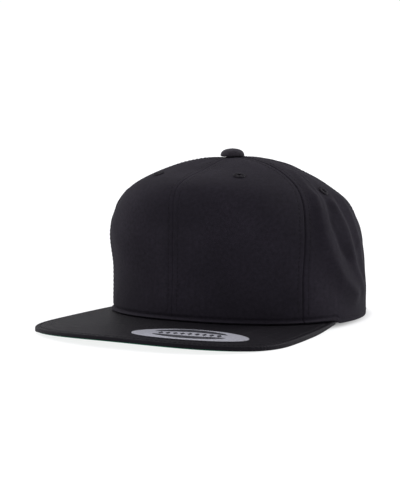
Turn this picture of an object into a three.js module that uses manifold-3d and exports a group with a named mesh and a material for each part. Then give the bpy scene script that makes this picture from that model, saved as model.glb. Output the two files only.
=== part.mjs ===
// Snapback cap: six cloth panels over a flat peak, with a plastic strap across an arch at the back.
// Millimetres, +Z up, front towards -Y, the wearer's left towards +X.
// The cap stands on its peak and its back rim, with its origin below the middle of its box.
import * as THREE from 'three';
import { mergeVertices } from 'three/addons/utils/BufferGeometryUtils.js';
import Module from 'manifold-3d';

const wasm = await Module();
wasm.setup();

// Crown, measured on the outside: a head-sized oval
const CROWN_LENGTH = 200;
const CROWN_WIDTH = 168;
const CROWN_HEIGHT = 105.3;
const CROWN_TOP_FORWARD = 13.3;
const RIM_DROP_ANGLE = 1.8;

// Cloth
const FRONT_WALL = 2.0;
const SOFT_WALL = 1.6;
const CLEARANCE = 0.3;
const SEAM_DIP = 0.5;
const SEAM_DIP_WIDTH = 3.2;

// Peak: flat, gently arched from side to side
const PEAK_LENGTH = 69;
const PEAK_OVERHANG = 7;
const PEAK_FRONT_DEPTH = 67;
const PEAK_ENDS_AHEAD = 26;
const PEAK_SQUARENESS = 2.4;
const PEAK_ARCH = 4.6;
const PEAK_BOARD = 2.0;
const UNDER_CLOTH = 1.0;
const PEAK_EDGE_ROUNDING = 1.8;
const PEAK_END_THINNING = 0.6;
const RIM_STEP_START = 1;
const RIM_STEP_END = 5;

// Oval label on the peak
const LABEL_HALF_LENGTH = 37;
const LABEL_HALF_WIDTH = 16.7;
const LABEL_TO_LEFT = 36.2;
const LABEL_FROM_FRONT = 32.4;
const LABEL_TURN = 19.5;
const LABEL_THICKNESS = 0.4;

// Eyelets and button
const EYELET_RADIUS = 4.2;
const EYELET_HEIGHT = 0.7;
const EYELET_BORE_RADIUS = 1.4;
const EYELET_SLEEVE = 0.8;
const BUTTON_RADIUS = 8.5;
const BUTTON_HEIGHT = 6.1;
const BUTTON_HOLE_RADIUS = 3.2;
const BUTTON_SHANK_CLEARANCE = 1.5;
const BUTTON_WASHER_RADIUS = 6;
const BUTTON_WASHER_THICKNESS = 1;

// Sweatband
const SWEATBAND_HEIGHT = 32;
const SWEATBAND_THICKNESS = 1.2;

// Arch at the back, and the strap across it
const ARCH_HALF_WIDTH = 38;
const ARCH_HEIGHT = 46;
const STRAP_HEIGHT = 18;
const STRAP_THICKNESS = 1.5;
const STRAP_ABOVE_RIM = 1.5;
const STRAP_TAB = 13;
const SNAP_PITCH = 9.5;
const SNAP_HOLE_RADIUS = 2.6;
const SNAP_CLEARANCE = 0.6;
const SNAP_PEG_PROUD = 0.8;
const SNAPS_CLOSED = 5;
const STRAP_END_BEYOND_SNAP = 5;
const STRAP_FUSE = 0.2;

// Upright sections of the crown, evenly spaced from the front seam to the back one.
// rim, low, mid and shoulder are shares of the half length or width; the rises are shares of the height.
const SECTIONS = [
  { rim: 0.982, low: 0.960, mid: 0.951, shoulder: 0.890, shoulderRise: 0.827, topRise: 0.936 },
  { rim: 1.051, low: 1.046, mid: 1.062, shoulder: 0.876, shoulderRise: 0.806, topRise: 0.962 },
  { rim: 1.030, low: 1.019, mid: 0.963, shoulder: 0.845, shoulderRise: 0.740, topRise: 0.940 },
  { rim: 1.003, low: 1.006, mid: 0.974, shoulder: 0.842, shoulderRise: 0.712, topRise: 0.956 },
];
const LOW_RISE = 0.28;
const MID_RISE = 0.56;
const TOP_SPREAD = 0.45;
const ARC_SPANS = 5;

// Panels of one hand, from the front seam backwards: where an eyelet sits, across its panel and up its arc,
// and how far the panel's rear seam leans back, at its foot and at its shoulder, in degrees
const PANELS = [
  { name: 'front', wall: FRONT_WALL, columns: 10, rows: 13, eyelet: [0.50, 0.70], lean: [-1.5, 6.1] },
  { name: 'side', wall: SOFT_WALL, columns: 13, rows: 17, eyelet: [0.34, 0.615], lean: [0, 0] },
  { name: 'back', wall: SOFT_WALL, columns: 10, rows: 14, eyelet: [0.50, 0.65], lean: [0, 0] },
];
const LEAN_START = 0.35;
const LEAN_END = 0.78;

// Slack folds in the soft panels: each bends from one point of its panel to another. The points are shares
// of the panel's width and of the crown's arc. A negative depth is a valley.
const FOLDS = [
  { panel: 'side', from: [0.12, 0.56], bend: [0.03, 0.32], to: [0.50, 0.12], halfWidth: 7.5, depth: 2.4 },
  { panel: 'side', from: [0.33, 0.59], bend: [0.14, 0.40], to: [0.42, 0.27], halfWidth: 4.5, depth: -1.3 },
  { panel: 'side', from: [0.34, 0.59], bend: [0.32, 0.36], to: [0.68, 0.12], halfWidth: 4.5, depth: 1.4 },
  { panel: 'side', from: [0.56, 0.58], bend: [0.48, 0.40], to: [0.72, 0.18], halfWidth: 4.5, depth: 1.1 },
  { panel: 'side', from: [0.24, 0.73], bend: [0.06, 0.64], to: [0.10, 0.50], halfWidth: 4.5, depth: 0.9 },
  { panel: 'side', from: [0.04, 0.43], bend: [0.07, 0.35], to: [0.16, 0.29], halfWidth: 6.5, depth: -1.5 },
  { panel: 'back', from: [0.30, 0.60], bend: [0.20, 0.46], to: [0.24, 0.32], halfWidth: 6.0, depth: 0.9 },
  { panel: 'back', from: [0.62, 0.58], bend: [0.60, 0.48], to: [0.50, 0.42], halfWidth: 6.0, depth: -0.8 },
];
const FOLD_STEPS = 8;

const halfLength = CROWN_LENGTH / 2;
const halfWidth = CROWN_WIDTH / 2;
const { degToRad, lerp, smoothstep } = THREE.MathUtils;
const backTurn = Math.PI;
const seamTurn = backTurn / PANELS.length;
const thickestWall = Math.max(FRONT_WALL, SOFT_WALL);
const peakHalfWidth = halfWidth + PEAK_OVERHANG;
const peakFrontY = -(halfLength + PEAK_LENGTH);

// One column of the section table blended round the crown: exact on each seam, smooth between them
function around(column, turn) {
  const [front, side, rear, back] = SECTIONS.map((row) => row[column]);
  return (front + 2 * side + 2 * rear + back) / 6
    + (front + side - rear - back) / 3 * Math.cos(turn)
    + (front - side - rear + back) / 3 * Math.cos(2 * turn)
    + (front - 2 * side + 2 * rear - back) / 6 * Math.cos(3 * turn);
}

// A smooth line through equally spaced values; the first and last only steer its ends
function through(values, share) {
  const spans = values.length - 3;
  const place = share * spans;
  const span = THREE.MathUtils.clamp(Math.floor(place), 0, spans - 1);
  return catmull(values.slice(span, span + 4), place - span);
}

function catmull([before, start, end, after], part) {
  const slopeIn = (end - before) / 2;
  const slopeOut = (after - start) / 2;
  const cubed = part ** 3;
  const squared = part ** 2;
  return start * (2 * cubed - 3 * squared + 1) + slopeIn * (cubed - 2 * squared + part)
    + end * (3 * squared - 2 * cubed) + slopeOut * (cubed - squared);
}

// Height of the peak's upper side at a distance from the middle line; the crown's seam with it is at 0
function peakLevel(x) {
  return -PEAK_ARCH * (x / peakHalfWidth) ** 2;
}

const peakEndTurn = Math.acos(PEAK_ENDS_AHEAD / halfLength);
const peakThickness = PEAK_BOARD + CLEARANCE + UNDER_CLOTH;
const peakEndThickness = PEAK_END_THINNING * (PEAK_BOARD + UNDER_CLOTH) + CLEARANCE;
const stepStart = RIM_STEP_START / halfWidth;
const stepEnd = RIM_STEP_END / halfWidth;

// Lowest level of the cap round its edge: the peak's underside in front, the rim behind
function baseLevel(turn) {
  const along = Math.abs(turn);
  const x = halfWidth * Math.sin(Math.min(along, peakEndTurn));
  const thickness = along < peakEndTurn ? peakThickness : peakEndThickness;
  const behind = Math.max(0, PEAK_ENDS_AHEAD - halfLength * Math.cos(along));
  return peakLevel(x) - thickness - Math.tan(degToRad(RIM_DROP_ANGLE)) * behind;
}

// Lower edge of the cloth wall: on the peak in front, then down to the rim behind the peak's ends
function rimLevel(turn) {
  const along = Math.abs(turn);
  const onPeak = peakLevel(halfWidth * Math.sin(Math.min(along, peakEndTurn))) + CLEARANCE;
  const down = smoothstep(along - peakEndTurn, stepStart, stepEnd);
  return along < peakEndTurn ? onPeak : lerp(onPeak, baseLevel(turn), down);
}

// Point of the crown's outer side: turn is 0 at the front, rise goes from 0 at the rim to 1 at the top
function crownPoint(turn, rise) {
  const rim = around('rim', turn);
  const low = around('low', turn);
  const out = [rim, low, around('mid', turn), around('shoulder', turn), TOP_SPREAD, 0, -TOP_SPREAD];
  const topRise = around('topRise', turn);
  const up = [0, LOW_RISE, MID_RISE, around('shoulderRise', turn), topRise, 1, topRise];
  const reach = through([2 * rim - low, ...out], rise);
  const height = through([-LOW_RISE, ...up], rise);
  return new THREE.Vector3(
    halfWidth * Math.sin(turn) * reach,
    -halfLength * Math.cos(turn) * reach - CROWN_TOP_FORWARD * (1 - reach),
    CROWN_HEIGHT * height + rimLevel(turn) * (1 - height),
  );
}

const STEP = 1e-3;
function crownNormal(turn, rise) {
  const across = crownPoint(turn + STEP, rise).sub(crownPoint(turn - STEP, rise));
  const upward = crownPoint(turn, rise + STEP).sub(crownPoint(turn, rise - STEP));
  return across.cross(upward).normalize();
}

function wallPoint(turn, rise, depth) {
  return crownPoint(turn, rise).addScaledVector(crownNormal(turn, rise), -depth);
}

// Rise that brings the lower wall to a given level
function riseAtLevel(turn, level) {
  const rim = rimLevel(turn);
  return (level - rim) / (CROWN_HEIGHT - rim) / (LOW_RISE * ARC_SPANS);
}

// Closed sheet between two grids of points: the first faces out, its rows turn left and its columns rise
function sheet(outer, inner) {
  const rows = outer.length;
  const columns = outer[0].length;
  const last = columns - 1;
  const index = [];
  const at = (side, row, column) => (side * rows + row) * columns + column;
  const face = (a, b, c, d) => index.push(a, b, c, a, c, d);
  for (let i = 0; i < rows - 1; i += 1) {
    for (let j = 0; j < columns - 1; j += 1) {
      face(at(0, i, j), at(0, i + 1, j), at(0, i + 1, j + 1), at(0, i, j + 1));
      face(at(1, i, j), at(1, i, j + 1), at(1, i + 1, j + 1), at(1, i + 1, j));
    }
    face(at(0, i + 1, 0), at(0, i, 0), at(1, i, 0), at(1, i + 1, 0));
    face(at(0, i, last), at(0, i + 1, last), at(1, i + 1, last), at(1, i, last));
  }
  for (let j = 0; j < columns - 1; j += 1) {
    face(at(0, 0, j), at(0, 0, j + 1), at(1, 0, j + 1), at(1, 0, j));
    face(at(0, rows - 1, j + 1), at(0, rows - 1, j), at(1, rows - 1, j), at(1, rows - 1, j + 1));
  }
  const points = [...outer.flat(), ...inner.flat()];
  const geometry = new THREE.BufferGeometry().setFromPoints(points);
  geometry.setIndex(index);
  return geometry;
}

function mirrored(geometry) {
  const copy = geometry.clone().scale(-1, 1, 1);
  const index = copy.getIndex();
  for (let k = 0; k < index.count; k += 3) {
    const kept = index.getX(k);
    index.setX(k, index.getX(k + 1));
    index.setX(k + 1, kept);
  }
  return copy;
}

function solidOf(geometry) {
  const bare = geometry.clone();
  bare.deleteAttribute('normal');
  bare.deleteAttribute('uv');
  const merged = mergeVertices(bare);
  return new wasm.Manifold(new wasm.Mesh({
    numProp: 3,
    vertProperties: new Float32Array(merged.getAttribute('position').array),
    triVerts: new Uint32Array(merged.getIndex().array),
  }));
}

function geometryOf(solid) {
  const mesh = solid.getMesh();
  const geometry = new THREE.BufferGeometry();
  geometry.setAttribute('position', new THREE.BufferAttribute(mesh.vertProperties, mesh.numProp));
  geometry.setIndex(new THREE.BufferAttribute(mesh.triVerts, 1));
  return geometry;
}

function shares(count) {
  return Array.from({ length: count + 1 }, (_, k) => k / count);
}

// Turns of a panel's front and rear seam at a rise
function seamTurns(panel, rise) {
  const order = PANELS.indexOf(panel);
  return [order - 1, order].map((row, k) => {
    const [foot, head] = row < 0 ? [0, 0] : PANELS[row].lean;
    const lean = lerp(foot, head, smoothstep(rise, LEAN_START, LEAN_END));
    return (order + k) * seamTurn + degToRad(lean);
  });
}

// Columns of a panel stand closer together beside its seams, where the cloth dips into the stitching
const DIP_COLUMN = 0.035;
const SHOULDER_COLUMN = 0.09;
function panelColumns(panel) {
  const inner = shares(panel.columns - 4).map((share) => lerp(SHOULDER_COLUMN, 1 - SHOULDER_COLUMN, share));
  const all = [0, DIP_COLUMN, ...inner, 1 - DIP_COLUMN, 1];
  const [first, second] = seamTurns(panel, 0);
  const steps = [stepStart, stepEnd].map((step) => (peakEndTurn + step - first) / (second - first));
  if (steps[0] < 0 || steps[1] > 1) {
    return all;
  }
  const clear = all.filter((share) => steps.every((step) => Math.abs(share - step) > DIP_COLUMN));
  return [...clear, ...steps].sort((a, b) => a - b);
}

const lastRise = riseAtRadius(BUTTON_HOLE_RADIUS);
const FOLD_EDGE = 0.14;
const ARC_TO_HEIGHT = 1.5;

// How far the folds push a panel's cloth out at a place on it; they die out at seams and round the eyelet
function foldRelief(panel, across, rise) {
  const onPanel = ([a, r]) => new THREE.Vector2(a * halfWidth * seamTurn, r * CROWN_HEIGHT * ARC_TO_HEIGHT);
  const place = onPanel([across, rise]);
  const toEyelet = place.distanceTo(onPanel(panel.eyelet));
  const fade = smoothstep(across, 0, FOLD_EDGE) * smoothstep(1 - across, 0, FOLD_EDGE)
    * smoothstep(toEyelet, EYELET_RADIUS, EYELET_RADIUS * 3);
  return FOLDS.filter((fold) => fold.panel === panel.name).reduce((sum, fold) => {
    const line = new THREE.QuadraticBezierCurve(onPanel(fold.from), onPanel(fold.bend), onPanel(fold.to));
    const points = line.getPoints(FOLD_STEPS);
    const distances = points.slice(1).map((end, k) => {
      const start = points[k];
      const step = end.clone().sub(start);
      const along = THREE.MathUtils.clamp(place.clone().sub(start).dot(step) / step.lengthSq(), 0, 1);
      return place.distanceTo(start.clone().addScaledVector(step, along));
    });
    const away = Math.min(...distances) / fold.halfWidth;
    return sum + fade * fold.depth * Math.exp(-away * away);
  }, 0);
}

// Distance from the crown's axis to the middle of a panel, at a rise
function panelRadius(panel, rise) {
  const [first, second] = seamTurns(panel, rise);
  const middle = crownPoint((first + second) / 2, rise);
  return Math.hypot(middle.x, middle.y + CROWN_TOP_FORWARD);
}

function panelTurn(panel, across, rise) {
  const [first, second] = seamTurns(panel, rise);
  const inset = CLEARANCE / 2 / panelRadius(panel, rise);
  return lerp(first + inset, second - inset, across);
}

// Place on a panel: across and rise are shares; inside is true for the face that looks at the head
function panelPoint(panel, across, rise, inside) {
  const width = panelRadius(panel, rise) * seamTurn;
  const toSeam = Math.min(across, 1 - across) * width;
  const narrow = Math.min(1, width / (6 * SEAM_DIP_WIDTH));
  const dip = SEAM_DIP * narrow * Math.exp(-((toSeam / SEAM_DIP_WIDTH) ** 2));
  const relief = foldRelief(panel, across, rise);
  return wallPoint(panelTurn(panel, across, rise), rise, inside ? panel.wall - relief : dip - relief);
}

function panelSheet(panel) {
  const rises = shares(panel.rows).map((share) => share * lastRise);
  const grid = (inside) => panelColumns(panel).map((across) => (
    rises.map((rise) => panelPoint(panel, across, rise, inside))));
  return sheet(grid(false), grid(true));
}

// Place and direction of an eyelet on its panel
function eyeletSeat(panel) {
  const [across, rise] = panel.eyelet;
  const place = panelPoint(panel, across, rise, false);
  return { place, out: crownNormal(panelTurn(panel, across, rise), rise) };
}

const UP = new THREE.Vector3(0, 1, 0);
function seated(geometry, { place, out }) {
  return geometry.applyQuaternion(new THREE.Quaternion().setFromUnitVectors(UP, out))
    .translate(place.x, place.y, place.z);
}

const ROUND_SIDES = 12;
const eyeletSleeveRadius = EYELET_BORE_RADIUS + EYELET_SLEEVE;

function eyeletHole(panel) {
  const cutter = new THREE.CylinderGeometry(
    eyeletSleeveRadius + CLEARANCE, eyeletSleeveRadius + CLEARANCE, panel.wall * 4, ROUND_SIDES);
  return seated(cutter, eyeletSeat(panel));
}

// Eyelet: a stitched ring on the cloth with a sleeve through the hole
function eyelet(panel) {
  const top = CLEARANCE + EYELET_HEIGHT;
  const bottom = -panel.wall - CLEARANCE;
  const profile = [
    [EYELET_BORE_RADIUS, bottom],
    [eyeletSleeveRadius, bottom],
    [eyeletSleeveRadius, CLEARANCE],
    [EYELET_RADIUS, CLEARANCE],
    [EYELET_RADIUS * 0.95, CLEARANCE + EYELET_HEIGHT * 0.7],
    [EYELET_RADIUS * 0.7, top],
    [EYELET_BORE_RADIUS, CLEARANCE + EYELET_HEIGHT * 0.8],
    [EYELET_BORE_RADIUS, bottom],
  ].map(([radius, height]) => new THREE.Vector2(radius, height));
  return seated(new THREE.LatheGeometry(profile, ROUND_SIDES), eyeletSeat(panel));
}

// Cutter for the arch at the back: half an oval that rises from the rim
function archCutter() {
  const side = baseLevel(backTurn) - ARCH_HEIGHT;
  const shape = new THREE.Shape();
  shape.moveTo(ARCH_HALF_WIDTH, side);
  shape.absellipse(0, baseLevel(backTurn), ARCH_HALF_WIDTH, ARCH_HEIGHT, 0, Math.PI, false, 0);
  shape.lineTo(-ARCH_HALF_WIDTH, side);
  const depth = halfLength;
  const cutter = new THREE.ExtrudeGeometry(shape, { depth, bevelEnabled: false, curveSegments: 12 });
  return cutter.rotateX(Math.PI / 2).translate(0, depth * 1.5, 0);
}

function panelGeometry(panel) {
  let solid = solidOf(panelSheet(panel)).subtract(solidOf(eyeletHole(panel)));
  if (panel.name === 'back') {
    solid = solid.subtract(solidOf(archCutter()));
  }
  return geometryOf(solid);
}

// Outer edge of the peak seen from above: a squarish front, then sides that curve in to the crown
const peakWidestY = peakFrontY + PEAK_FRONT_DEPTH;
const peakEnd = crownPoint(peakEndTurn, 0);
const tailReach = (peakEnd.y - peakWidestY) / Math.sqrt(1 - (peakEnd.x / peakHalfWidth) ** 2);
const outlineEnd = Math.acos((peakWidestY - peakEnd.y) / tailReach);

class PeakOutline extends THREE.Curve {
  getPoint(t, target = new THREE.Vector3()) {
    const turn = (1 - 2 * t) * outlineEnd;
    const sine = Math.sin(turn);
    const cosine = Math.cos(turn);
    const power = cosine > 0 ? 2 / PEAK_SQUARENESS : 1;
    const reach = cosine > 0 ? PEAK_FRONT_DEPTH : tailReach;
    return target.set(
      peakHalfWidth * Math.sign(sine) * Math.abs(sine) ** power,
      peakWidestY - reach * Math.sign(cosine) * Math.abs(cosine) ** power,
      0,
    );
  }
}

// Inner edge of the peak, sewn in under the wall
class PeakSeam extends THREE.Curve {
  getPoint(t, target = new THREE.Vector3()) {
    return target.copy(wallPoint((1 - 2 * t) * peakEndTurn, 0, thickestWall)).setZ(0);
  }
}

const PEAK_STATIONS = 36;
const PEAK_LINES = 4;
const END_PART = 0.1;

// One layer of the peak between two depths below its upper side, with its outer edge set in and rounded
function peakLayer(top, thickness, setIn, rounding) {
  const outline = new PeakOutline();
  outline.arcLengthDivisions = PEAK_STATIONS * 50;
  const outer = outline.getSpacedPoints(PEAK_STATIONS);
  const inner = new PeakSeam().getSpacedPoints(PEAK_STATIONS);
  const grid = (under) => outer.map((edge, station) => {
    const line = edge.clone().sub(inner[station]);
    const length = line.length();
    const last = 1 - Math.min(setIn, length / 4) / length;
    const band = Math.min(PEAK_EDGE_ROUNDING / length, 0.3);
    const places = [
      ...shares(PEAK_LINES).map((share) => [share * (last - band), 0]),
      [last - band / 3, rounding * 0.3],
      [last, rounding],
    ];
    const fromEnd = Math.min(station, PEAK_STATIONS - station) / PEAK_STATIONS;
    const full = lerp(PEAK_END_THINNING, 1, smoothstep(fromEnd, 0, END_PART));
    const upper = top > 0 ? CLEARANCE + (top - CLEARANCE) * full : 0;
    return places.map(([share, worn]) => {
      const place = inner[station].clone().addScaledVector(line, share);
      const depth = under ? upper + thickness * full - worn * 0.4 : upper + worn * full;
      return place.setZ(peakLevel(place.x) - depth);
    });
  });
  return sheet(grid(false), grid(true));
}

const peakUpper = () => peakLayer(0, PEAK_BOARD, 0, PEAK_BOARD * 0.45);
const peakUnder = () => peakLayer(PEAK_BOARD + CLEARANCE, UNDER_CLOTH, CLEARANCE * 2, 0);

// Label: an oval leaf that follows the peak's arch
const LABEL_SIDES = 30;
const LABEL_RINGS = 3;
function labelGeometry() {
  const turned = degToRad(LABEL_TURN);
  const point = (ring, side, lift) => {
    const angle = side / LABEL_SIDES * 2 * Math.PI;
    const along = LABEL_HALF_LENGTH * ring / LABEL_RINGS * Math.cos(angle);
    const over = LABEL_HALF_WIDTH * ring / LABEL_RINGS * Math.sin(angle);
    const x = LABEL_TO_LEFT + along * Math.cos(turned) - over * Math.sin(turned);
    const y = peakFrontY + LABEL_FROM_FRONT + along * Math.sin(turned) + over * Math.cos(turned);
    return new THREE.Vector3(x, y, peakLevel(x) + lift);
  };
  const points = [];
  const index = [];
  for (const lift of [CLEARANCE + LABEL_THICKNESS, CLEARANCE]) {
    points.push(point(0, 0, lift));
    for (let ring = 1; ring <= LABEL_RINGS; ring += 1) {
      for (let side = 0; side < LABEL_SIDES; side += 1) {
        points.push(point(ring, side, lift));
      }
    }
  }
  const layer = 1 + LABEL_RINGS * LABEL_SIDES;
  const at = (ring, side) => (ring === 0 ? 0 : 1 + (ring - 1) * LABEL_SIDES + side % LABEL_SIDES);
  for (let side = 0; side < LABEL_SIDES; side += 1) {
    for (let ring = 0; ring < LABEL_RINGS; ring += 1) {
      const [a, b, c, d] = [at(ring, side), at(ring + 1, side), at(ring + 1, side + 1), at(ring, side + 1)];
      index.push(a, b, c, layer + a, layer + c, layer + b);
      if (ring > 0) {
        index.push(a, c, d, layer + a, layer + d, layer + c);
      }
    }
    const [near, far] = [at(LABEL_RINGS, side), at(LABEL_RINGS, side + 1)];
    index.push(near, layer + near, layer + far, near, layer + far, far);
  }
  const geometry = new THREE.BufferGeometry().setFromPoints(points);
  geometry.setIndex(index);
  return geometry;
}

// Button: a domed cap on the cloth, a shank through the panels' tips and a washer inside
const BUTTON_DOME = [[1, 0.14], [0.965, 0.45], [0.84, 0.70], [0.60, 0.88], [0.30, 0.97], [0, 1]];
function riseAtRadius(radius) {
  return 1 - radius / (halfWidth * TOP_SPREAD) / ARC_SPANS;
}

// How far the crown has fallen from its top at a radius
function fallAtRadius(radius) {
  const rise = riseAtRadius(radius);
  return CROWN_HEIGHT - Math.min(...SECTIONS.map((_, k) => crownPoint(k * seamTurn, rise).z));
}

function buttonGeometry() {
  const inside = -thickestWall - CLEARANCE - fallAtRadius(BUTTON_WASHER_RADIUS);
  const shank = BUTTON_HOLE_RADIUS - BUTTON_SHANK_CLEARANCE;
  const profile = [
    [0, inside - BUTTON_WASHER_THICKNESS],
    [BUTTON_WASHER_RADIUS, inside - BUTTON_WASHER_THICKNESS],
    [BUTTON_WASHER_RADIUS, inside],
    [shank, inside],
    [shank, CLEARANCE],
    [BUTTON_RADIUS * 0.97, CLEARANCE * 0.5],
    ...BUTTON_DOME.map(([radius, height]) => [BUTTON_RADIUS * radius, BUTTON_HEIGHT * height]),
  ].map(([radius, height]) => new THREE.Vector2(radius, height));
  const geometry = new THREE.LatheGeometry(profile, 20);
  return geometry.rotateX(Math.PI / 2).translate(0, -CROWN_TOP_FORWARD, CROWN_HEIGHT);
}

// Turn of the wall at a distance from the middle of the back, along the wall
function turnAtBack(distance) {
  return backTurn - distance / halfWidth;
}

const archTurn = Math.asin(ARCH_HALF_WIDTH / halfWidth);
const strapDepth = SOFT_WALL + CLEARANCE;
const tabEnd = archTurn * halfWidth + STRAP_TAB;
const SWEATBAND_STATIONS = 44;
const BAND_MARGIN = 2;

// The sweatband lies against the wall and steps in over the strap's tabs
function sweatbandGeometry() {
  const end = turnAtBack(archTurn * halfWidth + BAND_MARGIN);
  const overTab = STRAP_THICKNESS + CLEARANCE;
  const grid = (thickness) => shares(SWEATBAND_STATIONS).map((share) => {
    const turn = lerp(-end, end, share);
    const fromBack = (backTurn - Math.abs(turn)) * halfWidth;
    const over = 1 - smoothstep(fromBack, tabEnd + BAND_MARGIN, tabEnd + 5 * BAND_MARGIN);
    const depth = thickestWall + CLEARANCE + overTab * over + thickness;
    const bottom = baseLevel(turn) + CLEARANCE;
    return shares(3).map((part) => (
      wallPoint(turn, riseAtLevel(turn, bottom + SWEATBAND_HEIGHT * part), depth)));
  });
  return sheet(grid(0), grid(SWEATBAND_THICKNESS));
}

// One half of the strap: from its tab behind the wall to a round end past the middle.
// Distances run along the wall from the middle of the back, towards the tab.
const overlapHalf = (SNAPS_CLOSED - 1) / 2 * SNAP_PITCH + STRAP_END_BEYOND_SNAP;
const strapMiddle = baseLevel(backTurn - archTurn) + STRAP_ABOVE_RIM + STRAP_HEIGHT / 2;
const END_STEPS = 4;
const STRAP_END_BLUNT = 0.35;

function strapHalf(depthAt) {
  const rounding = STRAP_HEIGHT / 2;
  const start = rounding - overlapHalf;
  const ends = shares(END_STEPS).map((share) => start - rounding * Math.cos(share * Math.PI / 2));
  const body = shares(12).slice(1).map((share) => lerp(start, tabEnd, share));
  const grid = (thickness) => [...ends, ...body].map((distance) => {
    const intoEnd = Math.max(0, start - distance) / rounding;
    const half = STRAP_HEIGHT / 2 * Math.max(STRAP_END_BLUNT, Math.sqrt(1 - intoEnd * intoEnd));
    return [-half, 0, half].map((offset) => {
      const turn = turnAtBack(distance);
      return wallPoint(turn, riseAtLevel(turn, strapMiddle + offset), depthAt(distance) + thickness);
    });
  });
  // distances grow towards the front, so the rows are turned round to face out
  return solidOf(sheet(grid(0).reverse(), grid(STRAP_THICKNESS).reverse()));
}

function strapSeat(distance, depth) {
  const turn = turnAtBack(distance);
  const rise = riseAtLevel(turn, strapMiddle);
  return { place: wallPoint(turn, rise, depth), out: crownNormal(turn, rise) };
}

// The half with the holes lies outside and comes from the wearer's left. The half with the pegs comes from
// the right and goes in under it. A peg closes each hole of the overlap, and one of each is free.
const SNAP_SIDES = 10;
const STRAP_BEND = 8;
function strapGeometry() {
  const layer = STRAP_THICKNESS - STRAP_FUSE;
  const underDepth = (distance) => (
    strapDepth + layer * (1 - smoothstep(distance, overlapHalf, overlapHalf + STRAP_BEND)));
  const most = (SNAPS_CLOSED - 1) / 2;
  let holed = strapHalf(() => strapDepth);
  for (let snap = -most; snap <= most + 1; snap += 1) {
    const hole = new THREE.CylinderGeometry(SNAP_HOLE_RADIUS, SNAP_HOLE_RADIUS, 4 * layer, SNAP_SIDES);
    holed = holed.subtract(solidOf(seated(hole, strapSeat(snap * SNAP_PITCH, strapDepth))));
  }
  let pegged = solidOf(mirrored(geometryOf(strapHalf(underDepth))));
  const pegRadius = SNAP_HOLE_RADIUS - SNAP_CLEARANCE;
  const pegHeight = 2 * layer + SNAP_PEG_PROUD;
  for (let snap = -most; snap <= most + 1; snap += 1) {
    const distance = snap * SNAP_PITCH;
    const peg = new THREE.CylinderGeometry(pegRadius * 0.7, pegRadius, pegHeight, SNAP_SIDES);
    const seat = strapSeat(distance, underDepth(distance) + layer - pegHeight / 2);
    pegged = pegged.add(solidOf(mirrored(seated(peg, seat))));
  }
  return geometryOf(holed.add(pegged));
}

function piece(name, geometry, colour, roughness) {
  const material = new THREE.MeshStandardMaterial({ color: colour, roughness, metalness: 0 });
  const mesh = new THREE.Mesh(geometry, material);
  mesh.name = name;
  return mesh;
}

const cap = new THREE.Group();
for (const panel of PANELS) {
  const cloth = panelGeometry(panel);
  const ring = eyelet(panel);
  for (const [hand, turnedOver] of [['left', false], ['right', true]]) {
    cap.add(piece(`panel_${panel.name}_${hand}`, turnedOver ? mirrored(cloth) : cloth, 0x232127, 0.9));
    cap.add(piece(`eyelet_${panel.name}_${hand}`, turnedOver ? mirrored(ring) : ring, 0x1c1b1f, 0.8));
  }
}
cap.add(piece('top_button', buttonGeometry(), 0x2b292d, 0.85));
cap.add(piece('peak_upper', peakUpper(), 0x242126, 0.85));
cap.add(piece('peak_under', peakUnder(), 0x1f6b4f, 0.9));
const label = piece('peak_label', labelGeometry(), 0x9a9aa4, 0.4);
label.material.metalness = 0.6;
cap.add(label);
cap.add(piece('sweatband', sweatbandGeometry(), 0x1d1c20, 0.9));
cap.add(piece('snap_strap', strapGeometry(), 0x17171a, 0.45));

// Lowest level in front of and behind the crown's middle once the cap is tipped
function lowest(tip) {
  const point = new THREE.Vector3();
  const found = { front: Infinity, back: Infinity };
  for (const mesh of cap.children) {
    const places = mesh.geometry.getAttribute('position');
    for (let k = 0; k < places.count; k += 1) {
      point.fromBufferAttribute(places, k);
      const side = point.y < 0 ? 'front' : 'back';
      found[side] = Math.min(found[side], point.y * Math.sin(tip) + point.z * Math.cos(tip));
    }
  }
  return found;
}

// Tip the cap until its peak and its back rim stand on one level
let lowTip = degToRad(-5);
let highTip = degToRad(5);
for (let k = 0; k < 40; k += 1) {
  const tip = (lowTip + highTip) / 2;
  const { front, back } = lowest(tip);
  if (back < front) {
    lowTip = tip;
  } else {
    highTip = tip;
  }
}
cap.rotation.x = (lowTip + highTip) / 2;

const standing = new THREE.Group();
standing.add(cap);
const box = new THREE.Box3().setFromObject(standing, true);
const middle = box.getCenter(new THREE.Vector3());
cap.position.set(-middle.x, -middle.y, -box.min.z);

export default standing;
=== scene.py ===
# %% [markdown]
# # A black snapback cap
# Six panels of black twill close over a head-sized hollow. In front lies a flat peak with a green under
# cloth and a silver oval label, on top sits a covered button, and a plastic strap crosses the back.
# The solids of the cap are made elsewhere and packed as a fixed frame. This lesson loads them, keeps
# their sizes and places, and dresses them: finer meshes of the same forms, sewing, weave and light.

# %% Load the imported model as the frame
import math

import bpy
import numpy as np
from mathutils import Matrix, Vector


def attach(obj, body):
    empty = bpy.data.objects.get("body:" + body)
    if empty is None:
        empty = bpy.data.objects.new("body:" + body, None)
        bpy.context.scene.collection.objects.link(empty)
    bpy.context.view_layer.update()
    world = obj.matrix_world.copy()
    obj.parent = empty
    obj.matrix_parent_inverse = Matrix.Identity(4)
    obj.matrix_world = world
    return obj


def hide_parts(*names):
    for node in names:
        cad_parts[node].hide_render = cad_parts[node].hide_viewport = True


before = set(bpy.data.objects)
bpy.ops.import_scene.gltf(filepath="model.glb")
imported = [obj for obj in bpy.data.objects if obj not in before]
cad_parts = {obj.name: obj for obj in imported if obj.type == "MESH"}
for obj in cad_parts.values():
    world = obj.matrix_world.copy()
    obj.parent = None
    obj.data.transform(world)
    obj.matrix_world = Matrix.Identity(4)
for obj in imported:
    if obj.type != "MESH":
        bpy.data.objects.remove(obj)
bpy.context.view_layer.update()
MM = 0.001

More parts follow.
